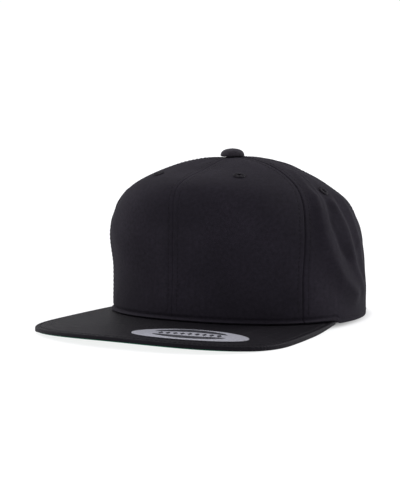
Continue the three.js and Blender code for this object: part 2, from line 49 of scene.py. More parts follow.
# %% [markdown]
# ## The crown's own frame
# A cap is easiest to describe from its rim: the wearer's left is +X, the front is -Y, and height starts
# where the peak's upper side meets the crown. The finished cap stands on its peak and its back rim,
# which tips that frame by half a degree. The button's highest point is known in both frames, so it
# gives the shift between them.

# %% Place the crown's frame in the row's frame
CROWN_HEIGHT = 105.3 * MM
CROWN_TOP_FORWARD = 13.3 * MM
BUTTON_HEIGHT = 6.1 * MM
TIP = math.radians(0.4471)


def tipped(points):
    """The points turned as the standing cap is, about the crown's X axis."""
    x, y, z = np.moveaxis(np.asarray(points, float), -1, 0)
    cosine, sine = math.cos(TIP), math.sin(TIP)
    return np.stack([x, y * cosine - z * sine, y * sine + z * cosine], -1)


button_corners = [v.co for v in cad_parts["top_button"].data.vertices]
button_top = np.array(max(button_corners, key=lambda corner: corner.z))
SHIFT = button_top - tipped([0, -CROWN_TOP_FORWARD, CROWN_HEIGHT + BUTTON_HEIGHT])
print("shift of the crown's frame, mm:", np.round(SHIFT / MM, 2))

# %% [markdown]
# ## The crown as one smooth surface
# The real crown is cut from flat gores and steamed over a block, so it has no exact sphere or dome in
# it. It could be sculpted, or lofted through rings. Here four upright sections stand on the seams, each a
# smooth line through seven heights, and a short cosine sum blends each column of the table round the
# crown. It is exact on every seam, so a section can be changed without touching the others.

# %% Sections of the crown
CROWN_LENGTH = 200 * MM
CROWN_WIDTH = 168 * MM
HALF_LENGTH = CROWN_LENGTH / 2
HALF_WIDTH = CROWN_WIDTH / 2

# Values on the seams at 0, 60, 120 and 180 degrees from the front; out is a share of the half length or
# width, and a rise is a share of the height
SECTIONS = {
    "rim": (0.982, 1.051, 1.030, 1.003),
    "low": (0.960, 1.046, 1.019, 1.006),
    "mid": (0.951, 1.062, 0.963, 0.974),
    "shoulder": (0.890, 0.876, 0.845, 0.842),
    "shoulder_rise": (0.827, 0.806, 0.740, 0.712),
    "top_rise": (0.936, 0.962, 0.940, 0.956),
}
LOW_RISE = 0.28
MID_RISE = 0.56
TOP_SPREAD = 0.45
ARC_SPANS = 5


def around(column, turn):
    """One column of the table at a turn from the front, in radians."""
    front, side, rear, back = SECTIONS[column]
    return (
        (front + 2 * side + 2 * rear + back) / 6
        + (front + side - rear - back) / 3 * np.cos(turn)
        + (front - side - rear + back) / 3 * np.cos(2 * turn)
        + (front - 2 * side + 2 * rear - back) / 6 * np.cos(3 * turn)
    )


def smooth_span(before, start, end, after, part):
    """A place between start and end on the smooth line through four neighbouring values."""
    squared, cubed = part**2, part**3
    return (
        start * (2 * cubed - 3 * squared + 1)
        + (end - before) / 2 * (cubed - 2 * squared + part)
        + end * (3 * squared - 2 * cubed)
        + (after - start) / 2 * (cubed - squared)
    )


def through(values, share):
    """A smooth line through evenly spaced values; the first and last value only steer its ends."""
    place = share * ARC_SPANS
    span = np.clip(np.floor(place), 0, ARC_SPANS - 1).astype(int)
    neighbours = (np.choose(span, values[k : k + ARC_SPANS]) for k in range(4))
    return smooth_span(*neighbours, place - span)


def smooth(value, low, high):
    """0 below low, 1 above high, and an even slope in between."""
    part = np.clip((value - low) / (high - low), 0, 1)
    return part * part * (3 - 2 * part)


# %% [markdown]
# ## Where the crown ends below
# In front the cloth stands on the peak, which is bowed from side to side. Behind the peak's ends it
# steps down to a rim of its own. The same three lines of arithmetic set the peak, the rim, the
# sweatband and the strap, so they stay together.

# %% Levels of the peak and the rim
PEAK_OVERHANG = 7 * MM
PEAK_HALF_WIDTH = HALF_WIDTH + PEAK_OVERHANG
PEAK_ARCH = 4.6 * MM
PEAK_ENDS_AHEAD = 26 * MM
PEAK_BOARD = 2.0 * MM
UNDER_CLOTH = 1.0 * MM
CLEARANCE = 0.3 * MM
PEAK_END_THINNING = 0.6
RIM_DROP = math.tan(math.radians(1.8))
RIM_STEP = (1 * MM / HALF_WIDTH, 5 * MM / HALF_WIDTH)
PEAK_END_TURN = math.acos(PEAK_ENDS_AHEAD / HALF_LENGTH)
PANEL_SPAN = math.radians(60)


def peak_level(x):
    return -PEAK_ARCH * (x / PEAK_HALF_WIDTH) ** 2


def base_level(turn):
    """Lowest level of the cap round its edge: the peak's underside in front, the rim behind."""
    along = np.abs(turn)
    x = HALF_WIDTH * np.sin(np.minimum(along, PEAK_END_TURN))
    full = PEAK_BOARD + CLEARANCE + UNDER_CLOTH
    thin = PEAK_END_THINNING * (PEAK_BOARD + UNDER_CLOTH) + CLEARANCE
    thickness = np.where(along < PEAK_END_TURN, full, thin)
    behind = np.maximum(0, PEAK_ENDS_AHEAD - HALF_LENGTH * np.cos(along))
    return peak_level(x) - thickness - RIM_DROP * behind


def rim_level(turn):
    """Lower edge of the cloth wall."""
    along = np.abs(turn)
    on_peak = peak_level(HALF_WIDTH * np.sin(np.minimum(along, PEAK_END_TURN))) + CLEARANCE
    down = smooth(along - PEAK_END_TURN, *RIM_STEP)
    return on_peak + (base_level(turn) - on_peak) * down * (along >= PEAK_END_TURN)


# %% [markdown]
# With those, any place on the crown is a turn from the front and a rise from the rim to the top.

# %% Points and normals of the crown
def crown_point(turn, rise):
    turn, rise = np.broadcast_arrays(np.asarray(turn, float), np.asarray(rise, float))
    rim, low = around("rim", turn), around("low", turn)
    spread = np.full_like(turn, TOP_SPREAD)
    flat = np.zeros_like(turn)
    out = [2 * rim - low, rim, low, around("mid", turn), around("shoulder", turn), spread, flat, -spread]
    top = around("top_rise", turn)
    rises = [-LOW_RISE, 0, LOW_RISE, MID_RISE]
    up = [flat + r for r in rises] + [around("shoulder_rise", turn), top, flat + 1, top]
    reach = through(out, rise)
    height = through(up, rise)
    return np.stack(
        [
            HALF_WIDTH * np.sin(turn) * reach,
            -HALF_LENGTH * np.cos(turn) * reach - CROWN_TOP_FORWARD * (1 - reach),
            CROWN_HEIGHT * height + rim_level(turn) * (1 - height),
        ],
        -1,
    )


def unit(vectors):
    return vectors / np.maximum(np.linalg.norm(vectors, axis=-1, keepdims=True), 1e-12)


def crown_normal(turn, rise, step=1e-3):
    across = crown_point(turn + step, rise) - crown_point(turn - step, rise)
    upward = crown_point(turn, rise + step) - crown_point(turn, rise - step)
    return unit(np.cross(across, upward))


def wall_point(turn, rise, depth):
    """A point below the crown's outer surface."""
    return crown_point(turn, rise) - crown_normal(turn, rise) * np.asarray(depth)[..., None]


def rise_at_level(turn, level):
    rim = rim_level(turn)
    return (level - rim) / (CROWN_HEIGHT - rim) / (LOW_RISE * ARC_SPANS)


print("crown at the side, mm:", np.round(crown_point(math.pi / 2, 0.2) / MM, 1))

# %% [markdown]
# ## Colours and nodes
# Colours are picked as sRGB hex values, as a painter would, and a shader needs them linear. One helper
# adds a node, sets it and links it, so that each material reads as a short recipe.

# %% Helpers for materials
def linear(colour):
    """An sRGB hex colour as linear RGBA."""
    channels = [int(colour[k : k + 2], 16) / 255 for k in (1, 3, 5)]
    return [c / 12.92 if c <= 0.04045 else ((c + 0.055) / 1.055) ** 2.4 for c in channels] + [1]


def add(tree, kind, settings=None, **links):
    """A new node. Settings are its properties and inputs by name; links are inputs fed by a socket."""
    node = tree.nodes.new(kind)
    for name, value in (settings or {}).items():
        if name in node.inputs:
            node.inputs[name].default_value = value
        else:
            setattr(node, name, value)
    for name, socket in links.items():
        tree.links.new(socket, node.inputs[name.replace("_", " ")])
    return node


def new_material(name, settings):
    """A material with one Principled shader, whose settings are typical for what it is made of."""
    material = bpy.data.materials.new(name)
    material.use_nodes = True
    tree = material.node_tree
    tree.nodes.clear()
    shader = add(tree, "ShaderNodeBsdfPrincipled", settings)
    add(tree, "ShaderNodeOutputMaterial", Surface=shader.outputs["BSDF"])
    return material, tree, shader


# %% [markdown]
# ## Black cotton twill
# Chino twill is woven with each weft thread passing over two or three warps and under one, one step
# further along in each row. That gives fine diagonal ribs, the wales. Matt cotton fibres stand off the
# surface and catch light at a grazing angle, which is what sheen does. The dye is not quite even, so
# a broad and a fine noise vary its tone a little. The wales of real chino lie 0.5 mm apart, too fine for
# the picture, so they are drawn at 0.8 mm.

# %% Twill
WALE_PITCH = 0.8 * MM
SLUB_LENGTH = 2.5 * MM
CLOUD_SIZE = 45 * MM
CLOTH_MAP = "cloth"


def twill(name, dark, light, roughness, sheen, gloss=0.12, relief=0.10 * MM):
    """Woven cloth: wales from the cloth's own map in metres, slubs in the yarn, clouds in the dye."""
    settings = {
        "Roughness": roughness,
        "IOR": 1.5,
        "Specular IOR Level": gloss,
        "Specular Tint": linear("#dcd4ea"),
        "Sheen Weight": sheen,
        "Sheen Roughness": 0.45,
        "Sheen Tint": linear("#d6d0e2"),
    }
    material, tree, shader = new_material(name, settings)
    place = add(tree, "ShaderNodeUVMap", {"uv_map": CLOTH_MAP})
    turned = add(tree, "ShaderNodeMapping", {"Scale": (-1, 1, 1)}, Vector=place.outputs["UV"])
    wale = add(
        tree,
        "ShaderNodeTexWave",
        {
            "bands_direction": "DIAGONAL",
            "Scale": math.pi / (5 * math.sqrt(2) * WALE_PITCH),
            "Distortion": 0.7,
            "Detail": 1.0,
            "Detail Scale": 0.4,
        },
        Vector=turned.outputs["Vector"],
    )
    slub = add(
        tree,
        "ShaderNodeTexNoise",
        {"Scale": 1 / SLUB_LENGTH, "Detail": 3.0, "Roughness": 0.6},
        Vector=place.outputs["UV"],
    )
    cloud = add(
        tree,
        "ShaderNodeTexNoise",
        {"Scale": 1 / CLOUD_SIZE, "Detail": 2.0},
        Vector=place.outputs["UV"],
    )
    tone = add(tree, "ShaderNodeMath", {"operation": "MULTIPLY"})
    tree.links.new(slub.outputs["Fac"], tone.inputs[0])
    tree.links.new(cloud.outputs["Fac"], tone.inputs[1])
    ramp = add(tree, "ShaderNodeValToRGB", Fac=tone.outputs["Value"])
    ramp.color_ramp.elements[0].position = 0.12
    ramp.color_ramp.elements[0].color = linear(dark)
    ramp.color_ramp.elements[1].position = 0.42
    ramp.color_ramp.elements[1].color = linear(light)
    height = add(tree, "ShaderNodeMath", {"operation": "MULTIPLY_ADD"})
    tree.links.new(slub.outputs["Fac"], height.inputs[0])
    height.inputs[1].default_value = 0.6
    tree.links.new(wale.outputs["Fac"], height.inputs[2])
    bump = add(
        tree,
        "ShaderNodeBump",
        {"Strength": 0.8, "Distance": relief},
        Height=height.outputs["Value"],
    )
    tree.links.new(ramp.outputs["Color"], shader.inputs["Base Color"])
    tree.links.new(bump.outputs["Normal"], shader.inputs["Normal"])
    return material


crown_twill = twill("black_cotton_twill", "#1c1a1f", "#26232a", 0.88, 0.010, 0.06)
# The peak's copy of the black twill is drawn darker than the crown's: painted shade on the peak's upper
# side.
peak_twill_painted_shade = twill("black_twill_on_board_painted_shade", "#100f12", "#171519", 0.58, 0.006, 0.08)
# The button's copy of the black twill is drawn lighter than the crown's: painted light on the button.
button_twill_painted_light = twill("black_twill_on_button_painted_light", "#232125", "#2f2c31", 0.82, 0.06)
under_twill = twill("green_twill", "#0d4a33", "#14604a", 0.88, 0.05)
band_twill = twill("black_sweatband_twill", "#18161a", "#221f24", 0.90, 0.03)

# %% [markdown]
# ## Thread, foil and plastic
# Sewing thread is spun polyester: darker than the twill in its twist, with a soft gloss. The label is a
# metallised foil sticker, satin rather than mirror-like, because its adhesive backing follows the
# weave below. The strap is injection-moulded polyethylene, dyed in the mass, with the fine grain of an
# eroded mould.

# %% Thread, foil and plastic
THREAD_TWIST = 0.35 * MM
MOULD_GRAIN = 0.5 * MM
FOIL_GRAIN = 1.2 * MM


def grained(name, dark, light, grain, relief, settings):
    """A surface with a fine even grain, in tone and in relief, fixed to the object's own space."""
    material, tree, shader = new_material(name, settings)
    place = add(tree, "ShaderNodeTexCoord")
    noise = add(
        tree,
        "ShaderNodeTexNoise",
        {"Scale": 1 / grain, "Detail": 3.0, "Roughness": 0.55},
        Vector=place.outputs["Object"],
    )
    ramp = add(tree, "ShaderNodeValToRGB", Fac=noise.outputs["Fac"])
    ramp.color_ramp.elements[0].position = 0.35
    ramp.color_ramp.elements[0].color = linear(dark)
    ramp.color_ramp.elements[1].position = 0.65
    ramp.color_ramp.elements[1].color = linear(light)
    bump = add(
        tree,
        "ShaderNodeBump",
        {"Strength": 0.6, "Distance": relief},
        Height=noise.outputs["Fac"],
    )
    tree.links.new(ramp.outputs["Color"], shader.inputs["Base Color"])
    tree.links.new(bump.outputs["Normal"], shader.inputs["Normal"])
    return material


thread_settings = {
    "Roughness": 0.6,
    "IOR": 1.55,
    "Specular IOR Level": 0.08,
    "Specular Tint": linear("#dcd4ea"),
}
black_thread = grained(
    "spun_polyester_thread_black", "#151317", "#201e22", THREAD_TWIST, 0.05 * MM, thread_settings
)
green_thread = grained(
    "spun_polyester_thread_green", "#0f5038", "#1a7254", THREAD_TWIST, 0.05 * MM, thread_settings
)
foil_settings = {"Roughness": 0.45, "Metallic": 0.4}
ink_settings = {"Roughness": 0.5, "IOR": 1.5}
plastic_settings = {"Roughness": 0.38, "IOR": 1.51}
label_foil = grained(
    "satin_silver_foil", "#a2a2ab", "#b4b4be", FOIL_GRAIN, 0.02 * MM, foil_settings
)
label_ink = grained(
    "dark_grey_foil_ink", "#1d1d24", "#292931", FOIL_GRAIN, 0.02 * MM, ink_settings
)
strap_plastic = grained(
    "moulded_polyethylene", "#131316", "#18181b", MOULD_GRAIN, 0.02 * MM, plastic_settings
)

# %% [markdown]
# ## Meshes from grids
# Cloth walls, the peak and the strap are all a sheet between two grids of points. Cells of the grid can
# be left out for a hole, and a wall then closes every side of a kept cell that has no neighbour, so
# each piece is one closed mesh. A boolean would do the same more slowly, and with ragged faces.

# %% Closed sheets
def add_piece(name, points, faces, material, slot, node=None, cloth=None):
    """A smooth-shaded mesh in the row frame that rides on the cap. cloth holds its map in metres."""
    mesh = bpy.data.meshes.new(name)
    mesh.from_pydata(points.tolist(), [], faces)
    mesh.materials.append(material)
    if cloth is not None:
        corners = np.empty(len(mesh.loops), np.int32)
        mesh.loops.foreach_get("vertex_index", corners)
        layer = mesh.uv_layers.new(name=CLOTH_MAP)
        layer.data.foreach_set("uv", cloth[corners].astype(np.float32).ravel())
    mesh.validate()
    mesh.shade_smooth()
    mesh.set_sharp_from_angle(angle=math.radians(50))
    piece = bpy.data.objects.new(name, mesh)
    bpy.context.scene.collection.objects.link(piece)
    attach(piece, "root")
    if node:
        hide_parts(node)
    return piece


def sheet_faces(keep):
    """Faces of a closed sheet, for the cells to keep. The second grid's points follow the first's."""
    rows, columns = keep.shape[0] + 1, keep.shape[1] + 1
    index = np.arange(rows * columns).reshape(rows, columns)
    corners = [index[:-1, :-1], index[1:, :-1], index[1:, 1:], index[:-1, 1:]]
    under = rows * columns
    quads = np.stack(corners, -1)
    faces = [quads[keep], quads[keep][:, ::-1] + under]
    framed = np.pad(keep, 1)
    neighbours = [framed[1:-1, :-2], framed[2:, 1:-1], framed[1:-1, 2:], framed[:-2, 1:-1]]
    for side, neighbour in enumerate(neighbours):
        open_side = keep & ~neighbour
        start, end = corners[side][open_side], corners[(side + 1) % 4][open_side]
        faces.append(np.stack([end, start, start + under, end + under], -1))
    return np.concatenate(faces)


def sheet_mesh(outer, inner, keep, cloth, flipped=False):
    """Points, faces and map of a closed sheet, without the points that no face uses."""
    points = np.concatenate([outer.reshape(-1, 3), inner.reshape(-1, 3)])
    both = np.concatenate([cloth.reshape(-1, 2)] * 2)
    used, faces = np.unique(sheet_faces(keep), return_inverse=True)
    faces = faces.reshape(-1, 4)
    if flipped:
        points = points * [-1, 1, 1]
        faces = faces[:, ::-1]
    return tipped(points[used]) + SHIFT, faces.tolist(), both[used]


def cut_hole(across, rise, keep, middle, measure):
    """Takes out the cells where measure is under 1 and pulls the grid's points onto the hole's edge."""
    centre_across = (across[:-1, :-1] + across[1:, 1:]) / 2
    centre_rise = (rise[:-1, :-1] + rise[1:, 1:]) / 2
    gone = measure(centre_across, centre_rise) < 1
    around_gone, around_kept = np.pad(gone, 1), np.pad(~gone, 1)

    def touches(cells):
        return cells[:-1, :-1] | cells[1:, :-1] | cells[:-1, 1:] | cells[1:, 1:]

    edge = touches(around_gone) & touches(around_kept)
    for _ in range(5):
        size = np.where(edge, measure(across, rise), 1)
        across = middle[0] + (across - middle[0]) / size
        rise = middle[1] + (rise - middle[1]) / size
    return across, rise, keep & ~gone


# %% [markdown]
# ## The six panels
# A front panel is backed stiff and stands up; the side and back panels are soft, and sag into slack
# folds between the eyelet and the rim. The folds could come from a cloth simulation, but the picture
# shows where each one runs, so tables draw them as ridges and valleys along short bent lines. The
# seam between a front and a side panel leans back as it climbs; the others run straight up.

# %% Panels and their seams
PANELS = {
    "front": {"order": 0, "wall": 2.0 * MM, "eyelet": (0.50, 0.70), "slack": 0.12 * MM},
    "side": {"order": 1, "wall": 1.6 * MM, "eyelet": (0.34, 0.615), "slack": 0.28 * MM},
    "back": {"order": 2, "wall": 1.6 * MM, "eyelet": (0.50, 0.65), "slack": 0.28 * MM},
}
# How far each seam leans at its foot and its head, in degrees, from the front seam to the back one
LEANS = [(0, 0), (-1.5, 6.1), (0, 0), (0, 0)]
LEAN_START, LEAN_END = 0.35, 0.78
# How far the cloth dips at the seams, from the front one, which is pressed flat, to the back one
SEAM_DIPS = [0.40 * MM, 1.2 * MM, 1.1 * MM, 0.8 * MM]
SEAM_CREASE = 0.5 * MM
SEAM_SHOULDER = 3.4 * MM
# The cloths are pressed together in a seam, so they overlap by a hair and no light comes through
SEAM_OVERLAP = 0.04 * MM
SEAM_ALLOWANCE = 0.5 * MM
EYELET_RADIUS = 4.2 * MM


def seam_turn(order, rise):
    """Turn of a seam, counted from the front one; a lean is given in degrees at its foot and its head."""
    foot, head = LEANS[order]
    return order * PANEL_SPAN + np.radians(foot + (head - foot) * smooth(rise, LEAN_START, LEAN_END))


def panel_radius(name, rise):
    """Distance of a panel's middle from the crown's axis."""
    order = PANELS[name]["order"]
    middle = crown_point((seam_turn(order, rise) + seam_turn(order + 1, rise)) / 2, rise)
    return np.hypot(middle[..., 0], middle[..., 1] + CROWN_TOP_FORWARD)


def panel_turn(name, across, rise):
    order = PANELS[name]["order"]
    over = SEAM_OVERLAP / 2 / panel_radius(name, rise)
    first, second = seam_turn(order, rise) - over, seam_turn(order + 1, rise) + over
    return first + across * (second - first)


print("side seam at its head, degrees:", round(float(np.degrees(seam_turn(1, 1.0))), 1))

# %% [markdown]
# Each row of a table is a line that bends once, from one place on the panel to another, with its half
# width and its depth in millimetres. A negative depth is a valley. The first table holds the main folds,
# which the solids have too. The second holds creases and shallow dents that only the finished cloth has.

# %% Folds
FOLDS = [
    ("side", (0.12, 0.56), (0.03, 0.32), (0.50, 0.12), 7.5, 2.4),
    ("side", (0.33, 0.59), (0.14, 0.40), (0.42, 0.27), 4.5, -1.3),
    ("side", (0.34, 0.59), (0.32, 0.36), (0.68, 0.12), 4.5, 1.4),
    ("side", (0.56, 0.58), (0.48, 0.40), (0.72, 0.18), 4.5, 1.1),
    ("side", (0.24, 0.73), (0.06, 0.64), (0.10, 0.50), 4.5, 0.9),
    ("side", (0.04, 0.43), (0.07, 0.35), (0.16, 0.29), 6.5, -1.5),
    ("back", (0.30, 0.60), (0.20, 0.46), (0.24, 0.32), 6.0, 0.9),
    ("back", (0.62, 0.58), (0.60, 0.48), (0.50, 0.42), 6.0, -0.8),
]
CREASES = [
    ("side", (0.12, 0.56), (0.03, 0.32), (0.50, 0.12), 3.0, 0.60),
    ("side", (0.32, 0.58), (0.14, 0.40), (0.41, 0.28), 2.4, -0.80),
    ("side", (0.34, 0.58), (0.32, 0.36), (0.66, 0.13), 2.2, 0.50),
    ("side", (0.56, 0.57), (0.48, 0.40), (0.71, 0.19), 2.2, 0.40),
    ("side", (0.24, 0.64), (0.17, 0.56), (0.17, 0.42), 2.6, 0.60),
    ("side", (0.30, 0.72), (0.22, 0.67), (0.30, 0.63), 2.4, 0.40),
    ("side", (0.44, 0.58), (0.42, 0.46), (0.52, 0.32), 2.6, -0.60),
    ("side", (0.66, 0.62), (0.78, 0.50), (0.86, 0.34), 3.0, 0.50),
    ("back", (0.42, 0.66), (0.30, 0.52), (0.40, 0.40), 2.4, 0.40),
    ("back", (0.58, 0.66), (0.74, 0.54), (0.72, 0.42), 2.6, 0.40),
    ("front", (0.86, 0.10), (0.70, 0.16), (0.82, 0.34), 7.0, -0.35),
    ("front", (0.12, 0.14), (0.26, 0.22), (0.16, 0.42), 8.0, -0.30),
]
FOLD_EDGE = 0.14
FOLD_STEPS = 8
FOLD_ARC = CROWN_HEIGHT * 1.5


def on_panel(across, rise):
    """A place on a panel laid flat."""
    return np.stack([across * HALF_WIDTH * PANEL_SPAN, rise * FOLD_ARC], -1)


def bent_line(start, bend, end):
    part = np.linspace(0, 1, FOLD_STEPS + 1)[:, None]
    start, bend, end = (on_panel(*np.array(place, float)) for place in (start, bend, end))
    return start * (1 - part) ** 2 + bend * 2 * part * (1 - part) + end * part**2


def fold_relief(name, across, rise):
    """How far the folds push a panel's cloth out; they die out at seams and round the eyelet."""
    place = on_panel(across, rise)
    to_eyelet = np.linalg.norm(place - on_panel(*np.array(PANELS[name]["eyelet"])), axis=-1)
    fade = smooth(across, 0, FOLD_EDGE) * smooth(1 - across, 0, FOLD_EDGE)
    fade = fade * smooth(to_eyelet, EYELET_RADIUS, EYELET_RADIUS * 3)
    relief = np.zeros_like(across)
    for panel, start, bend, end, half_width, depth in FOLDS + CREASES:
        if panel != name:
            continue
        line = bent_line(start, bend, end)
        away = np.full_like(across, np.inf)
        for here, there in zip(line[:-1], line[1:]):
            step = there - here
            along = np.clip((place - here) @ step / (step @ step), 0, 1)
            away = np.minimum(away, np.linalg.norm(place - here - along[..., None] * step, axis=-1))
        relief += depth * MM * np.exp(-((away / (half_width * MM)) ** 2))
    return relief * fade


# %% [markdown]
# Cloth that looks soft is never quite even. A few crossed waves, with their own phases for each panel,
# give it a slow swell of a few tenths of a millimetre. At each seam the cloth turns in as a narrow crease,
# and where it meets the peak it is rolled over the joint as a lip. All of these are depths below the
# crown's surface, so they add up.

# %% Relief of a panel
LIP_MIDDLE = 0.9 * MM
LIP_HALF = 0.65 * MM
LIP_BULGE = 1.3 * MM
LIP_GROOVE = 2.7 * MM
LIP_GROOVE_HALF = 1.1 * MM
LIP_GROOVE_DEPTH = 0.8 * MM
EDGE_ROUNDING = 0.3 * MM
STITCH_FROM_SEAM = 3.6 * MM
STITCH_GROOVE = 0.10 * MM
RIM_STITCH_HEIGHT = 3.4 * MM
# A seam's dip is mostly a narrow crease, and for the rest a wide shoulder
CREASE_SHARE = 0.87
WAVES = [(0.021, 0.4, 0.0), (0.034, 1.9, 1.3), (0.047, 2.8, 2.1), (0.062, 0.9, 4.0)]


def hump(value, middle, half):
    """A smooth bump of height 1 about a middle."""
    return np.exp(-(((value - middle) / half) ** 2))


def slack(name, hand, across, rise):
    """Slow swell of soft cloth."""
    seed = PANELS[name]["order"] + (3 if hand == "right" else 0)
    total = np.zeros_like(across)
    place = on_panel(across, rise)
    for length, angle, phase in WAVES:
        heading = angle + seed * 1.7
        wave = place @ [math.cos(heading), math.sin(heading)] / length * 2 * math.pi
        total += np.sin(wave + phase + seed * 2.3)
    fade = smooth(across, 0, FOLD_EDGE) * smooth(1 - across, 0, FOLD_EDGE) * smooth(rise, 0.02, 0.15)
    return PANELS[name]["slack"] * total * fade / 2


def above_rim(turn, rise):
    return (CROWN_HEIGHT - rim_level(turn)) * LOW_RISE * ARC_SPANS * rise


def panel_relief(name, hand, across, rise):
    """Soft and fine offset of a panel's outer face from the smooth crown, and extra cloth inside."""
    width = panel_radius(name, rise) * PANEL_SPAN
    turn = panel_turn(name, across, rise)
    soft = fold_relief(name, across, rise) + slack(name, hand, across, rise)
    narrow = np.minimum(1, width / (6 * SEAM_SHOULDER))
    fine = np.zeros_like(across)
    inside = np.zeros_like(across)
    for order, share in enumerate((across, 1 - across), start=PANELS[name]["order"]):
        to_seam = share * width
        crease = CREASE_SHARE * hump(to_seam, 0, SEAM_CREASE)
        crease += (1 - CREASE_SHARE) * hump(to_seam, 0, SEAM_SHOULDER)
        fine -= SEAM_DIPS[order] * narrow * crease
        fine -= STITCH_GROOVE * narrow * hump(to_seam, STITCH_FROM_SEAM, 0.7 * MM)
        inside += SEAM_ALLOWANCE * (1 - smooth(to_seam, 6 * MM, 6.8 * MM))
    above = above_rim(turn, rise)
    on_peak = 1 - smooth(turn - PEAK_END_TURN, *RIM_STEP)
    lip = LIP_BULGE * hump(above, LIP_MIDDLE, LIP_HALF)
    lip -= LIP_GROOVE_DEPTH * hump(above, LIP_GROOVE, LIP_GROOVE_HALF)
    fine += lip * on_peak
    fine -= STITCH_GROOVE * hump(above, RIM_STITCH_HEIGHT, 0.8 * MM) * (1 - on_peak)
    fine -= EDGE_ROUNDING * hump(above, 0, 0.5 * MM)
    return soft, fine, inside * smooth(above, 34 * MM, 37 * MM)


# %% [markdown]
# ## The arch and the eyelet holes
# The two back panels are cut out together over the strap: half an oval that rises from the rim. The
# same oval gives a measure that is 1 on its edge, which is all that the hole cutter needs.

# %% Measures of the holes
ARCH_HALF_WIDTH = 38 * MM
ARCH_HEIGHT = 46 * MM
ARCH_HEM = 6.5 * MM
EYELET_HOLE = 2.5 * MM


def arch_measure(across, rise):
    """1 on the edge of the arch and less inside it, for a place on a back panel."""
    place = crown_point(panel_turn("back", across, rise), rise)
    return np.hypot(place[..., 0] / ARCH_HALF_WIDTH, (place[..., 2] - base_level(math.pi)) / ARCH_HEIGHT)


def eyelet_measure(name):
    """1 on the edge of a panel's eyelet hole, from the cloth's own stretch there."""
    middle, rise = PANELS[name]["eyelet"]
    step = 0.01
    centre = crown_point(panel_turn(name, middle, rise), rise)
    wide = np.linalg.norm(crown_point(panel_turn(name, middle + step, rise), rise) - centre) / step
    tall = np.linalg.norm(crown_point(panel_turn(name, middle, rise + step), rise + step) - centre) / step
    return lambda across, at: np.hypot((across - middle) * wide, (at - rise) * tall) / EYELET_HOLE


def arch_distance(across, rise):
    """Roughly how far a place lies outside the arch's edge."""
    size = arch_measure(across, rise)
    place = crown_point(panel_turn("back", across, rise), rise)
    reach = np.hypot(place[..., 0], place[..., 2] - base_level(math.pi))
    return reach * (1 - 1 / np.maximum(size, 1e-6))


# %% Build the panels
PANEL_COLUMNS = 110
PANEL_ROWS = 136
# How strongly the grid's lines crowd towards the seams, and towards the rim and the top
SEAM_CROWDING = 0.68
RIM_CROWDING = 0.55
BUTTON_HOLE_RADIUS = 3.2 * MM
LAST_RISE = 1 - BUTTON_HOLE_RADIUS / (HALF_WIDTH * TOP_SPREAD) / ARC_SPANS


def crowded(count, push):
    """Shares from 0 to 1 that stand closer together at both ends."""
    even = np.linspace(0, 1, count + 1)
    return even - push * np.sin(2 * math.pi * even) / (2 * math.pi)


def panel_offsets(name, hand, across, rise):
    """Depths of a panel's outer and inner face below the crown's surface."""
    soft, fine, inside = panel_relief(name, hand, across, rise)
    wall = PANELS[name]["wall"]
    if name == "back":
        edge = arch_distance(across, rise)
        hem = 0.35 * MM * (1 - smooth(edge, ARCH_HEM + 1.2 * MM, ARCH_HEM + 2.2 * MM))
        groove = STITCH_GROOVE * hump(edge, ARCH_HEM, 0.8 * MM)
        rounding = 0.8 * MM * hump(edge, 0, 0.6 * MM)
        fine = fine + hem - groove - rounding
    return -soft - fine, wall - soft + inside


def panel_surface(name, hand, across, rise):
    """Outer surface of a panel at shares of its width and arc, in the crown's frame."""
    turn = panel_turn(name, across, rise)
    depth, _ = panel_offsets(name, hand, across, rise)
    return wall_point(turn, rise, depth)


def build_panel(name, hand):
    columns = crowded(PANEL_COLUMNS, SEAM_CROWDING)
    rows = crowded(PANEL_ROWS, RIM_CROWDING) * LAST_RISE
    across, rise = np.meshgrid(columns, rows, indexing="ij")
    keep = np.ones((PANEL_COLUMNS, PANEL_ROWS), bool)
    across, rise, keep = cut_hole(across, rise, keep, PANELS[name]["eyelet"], eyelet_measure(name))
    if name == "back":
        across, rise, keep = cut_hole(across, rise, keep, (1, 0), arch_measure)
    turn = panel_turn(name, across, rise)
    outside, inside = panel_offsets(name, hand, across, rise)
    outer = wall_point(turn, rise, outside)
    inner = wall_point(turn, rise, inside)
    arc = np.linalg.norm(np.diff(crown_point(turn, rise), axis=1), axis=-1)
    height = np.concatenate([np.zeros_like(arc[:, :1]), np.cumsum(arc, axis=1)], axis=1)
    height = np.broadcast_to(height[PANEL_COLUMNS // 2], across.shape)
    cloth = np.stack([(across - 0.5) * panel_radius(name, rise) * PANEL_SPAN, height], -1)
    mesh = sheet_mesh(outer, inner, keep, cloth, flipped=hand == "right")
    node = f"panel_{name}_{hand}"
    piece = add_piece(f"cloth_{name}_{hand}", *mesh[:2], crown_twill, "cap_cloth", node, mesh[2])
    print(piece.name, len(piece.data.polygons), "faces")
    return piece


for panel_name in PANELS:
    for panel_hand in ("left", "right"):
        build_panel(panel_name, panel_hand)

# %% [markdown]
# ## Stitches
# A lockstitch shows as a row of short threads, each diving into the cloth at its ends. They could be
# painted as bumps, but close views would give that away, so each is a small bent tube. One function
# lays a row of them along any line on a surface and dips their ends.

# %% A row of stitches
STITCH_PITCH = 3.0 * MM
STITCH_LENGTH = 2.5 * MM
THREAD_RADIUS = 0.20 * MM
STITCH_STATIONS = 5
STITCH_SIDES = 6


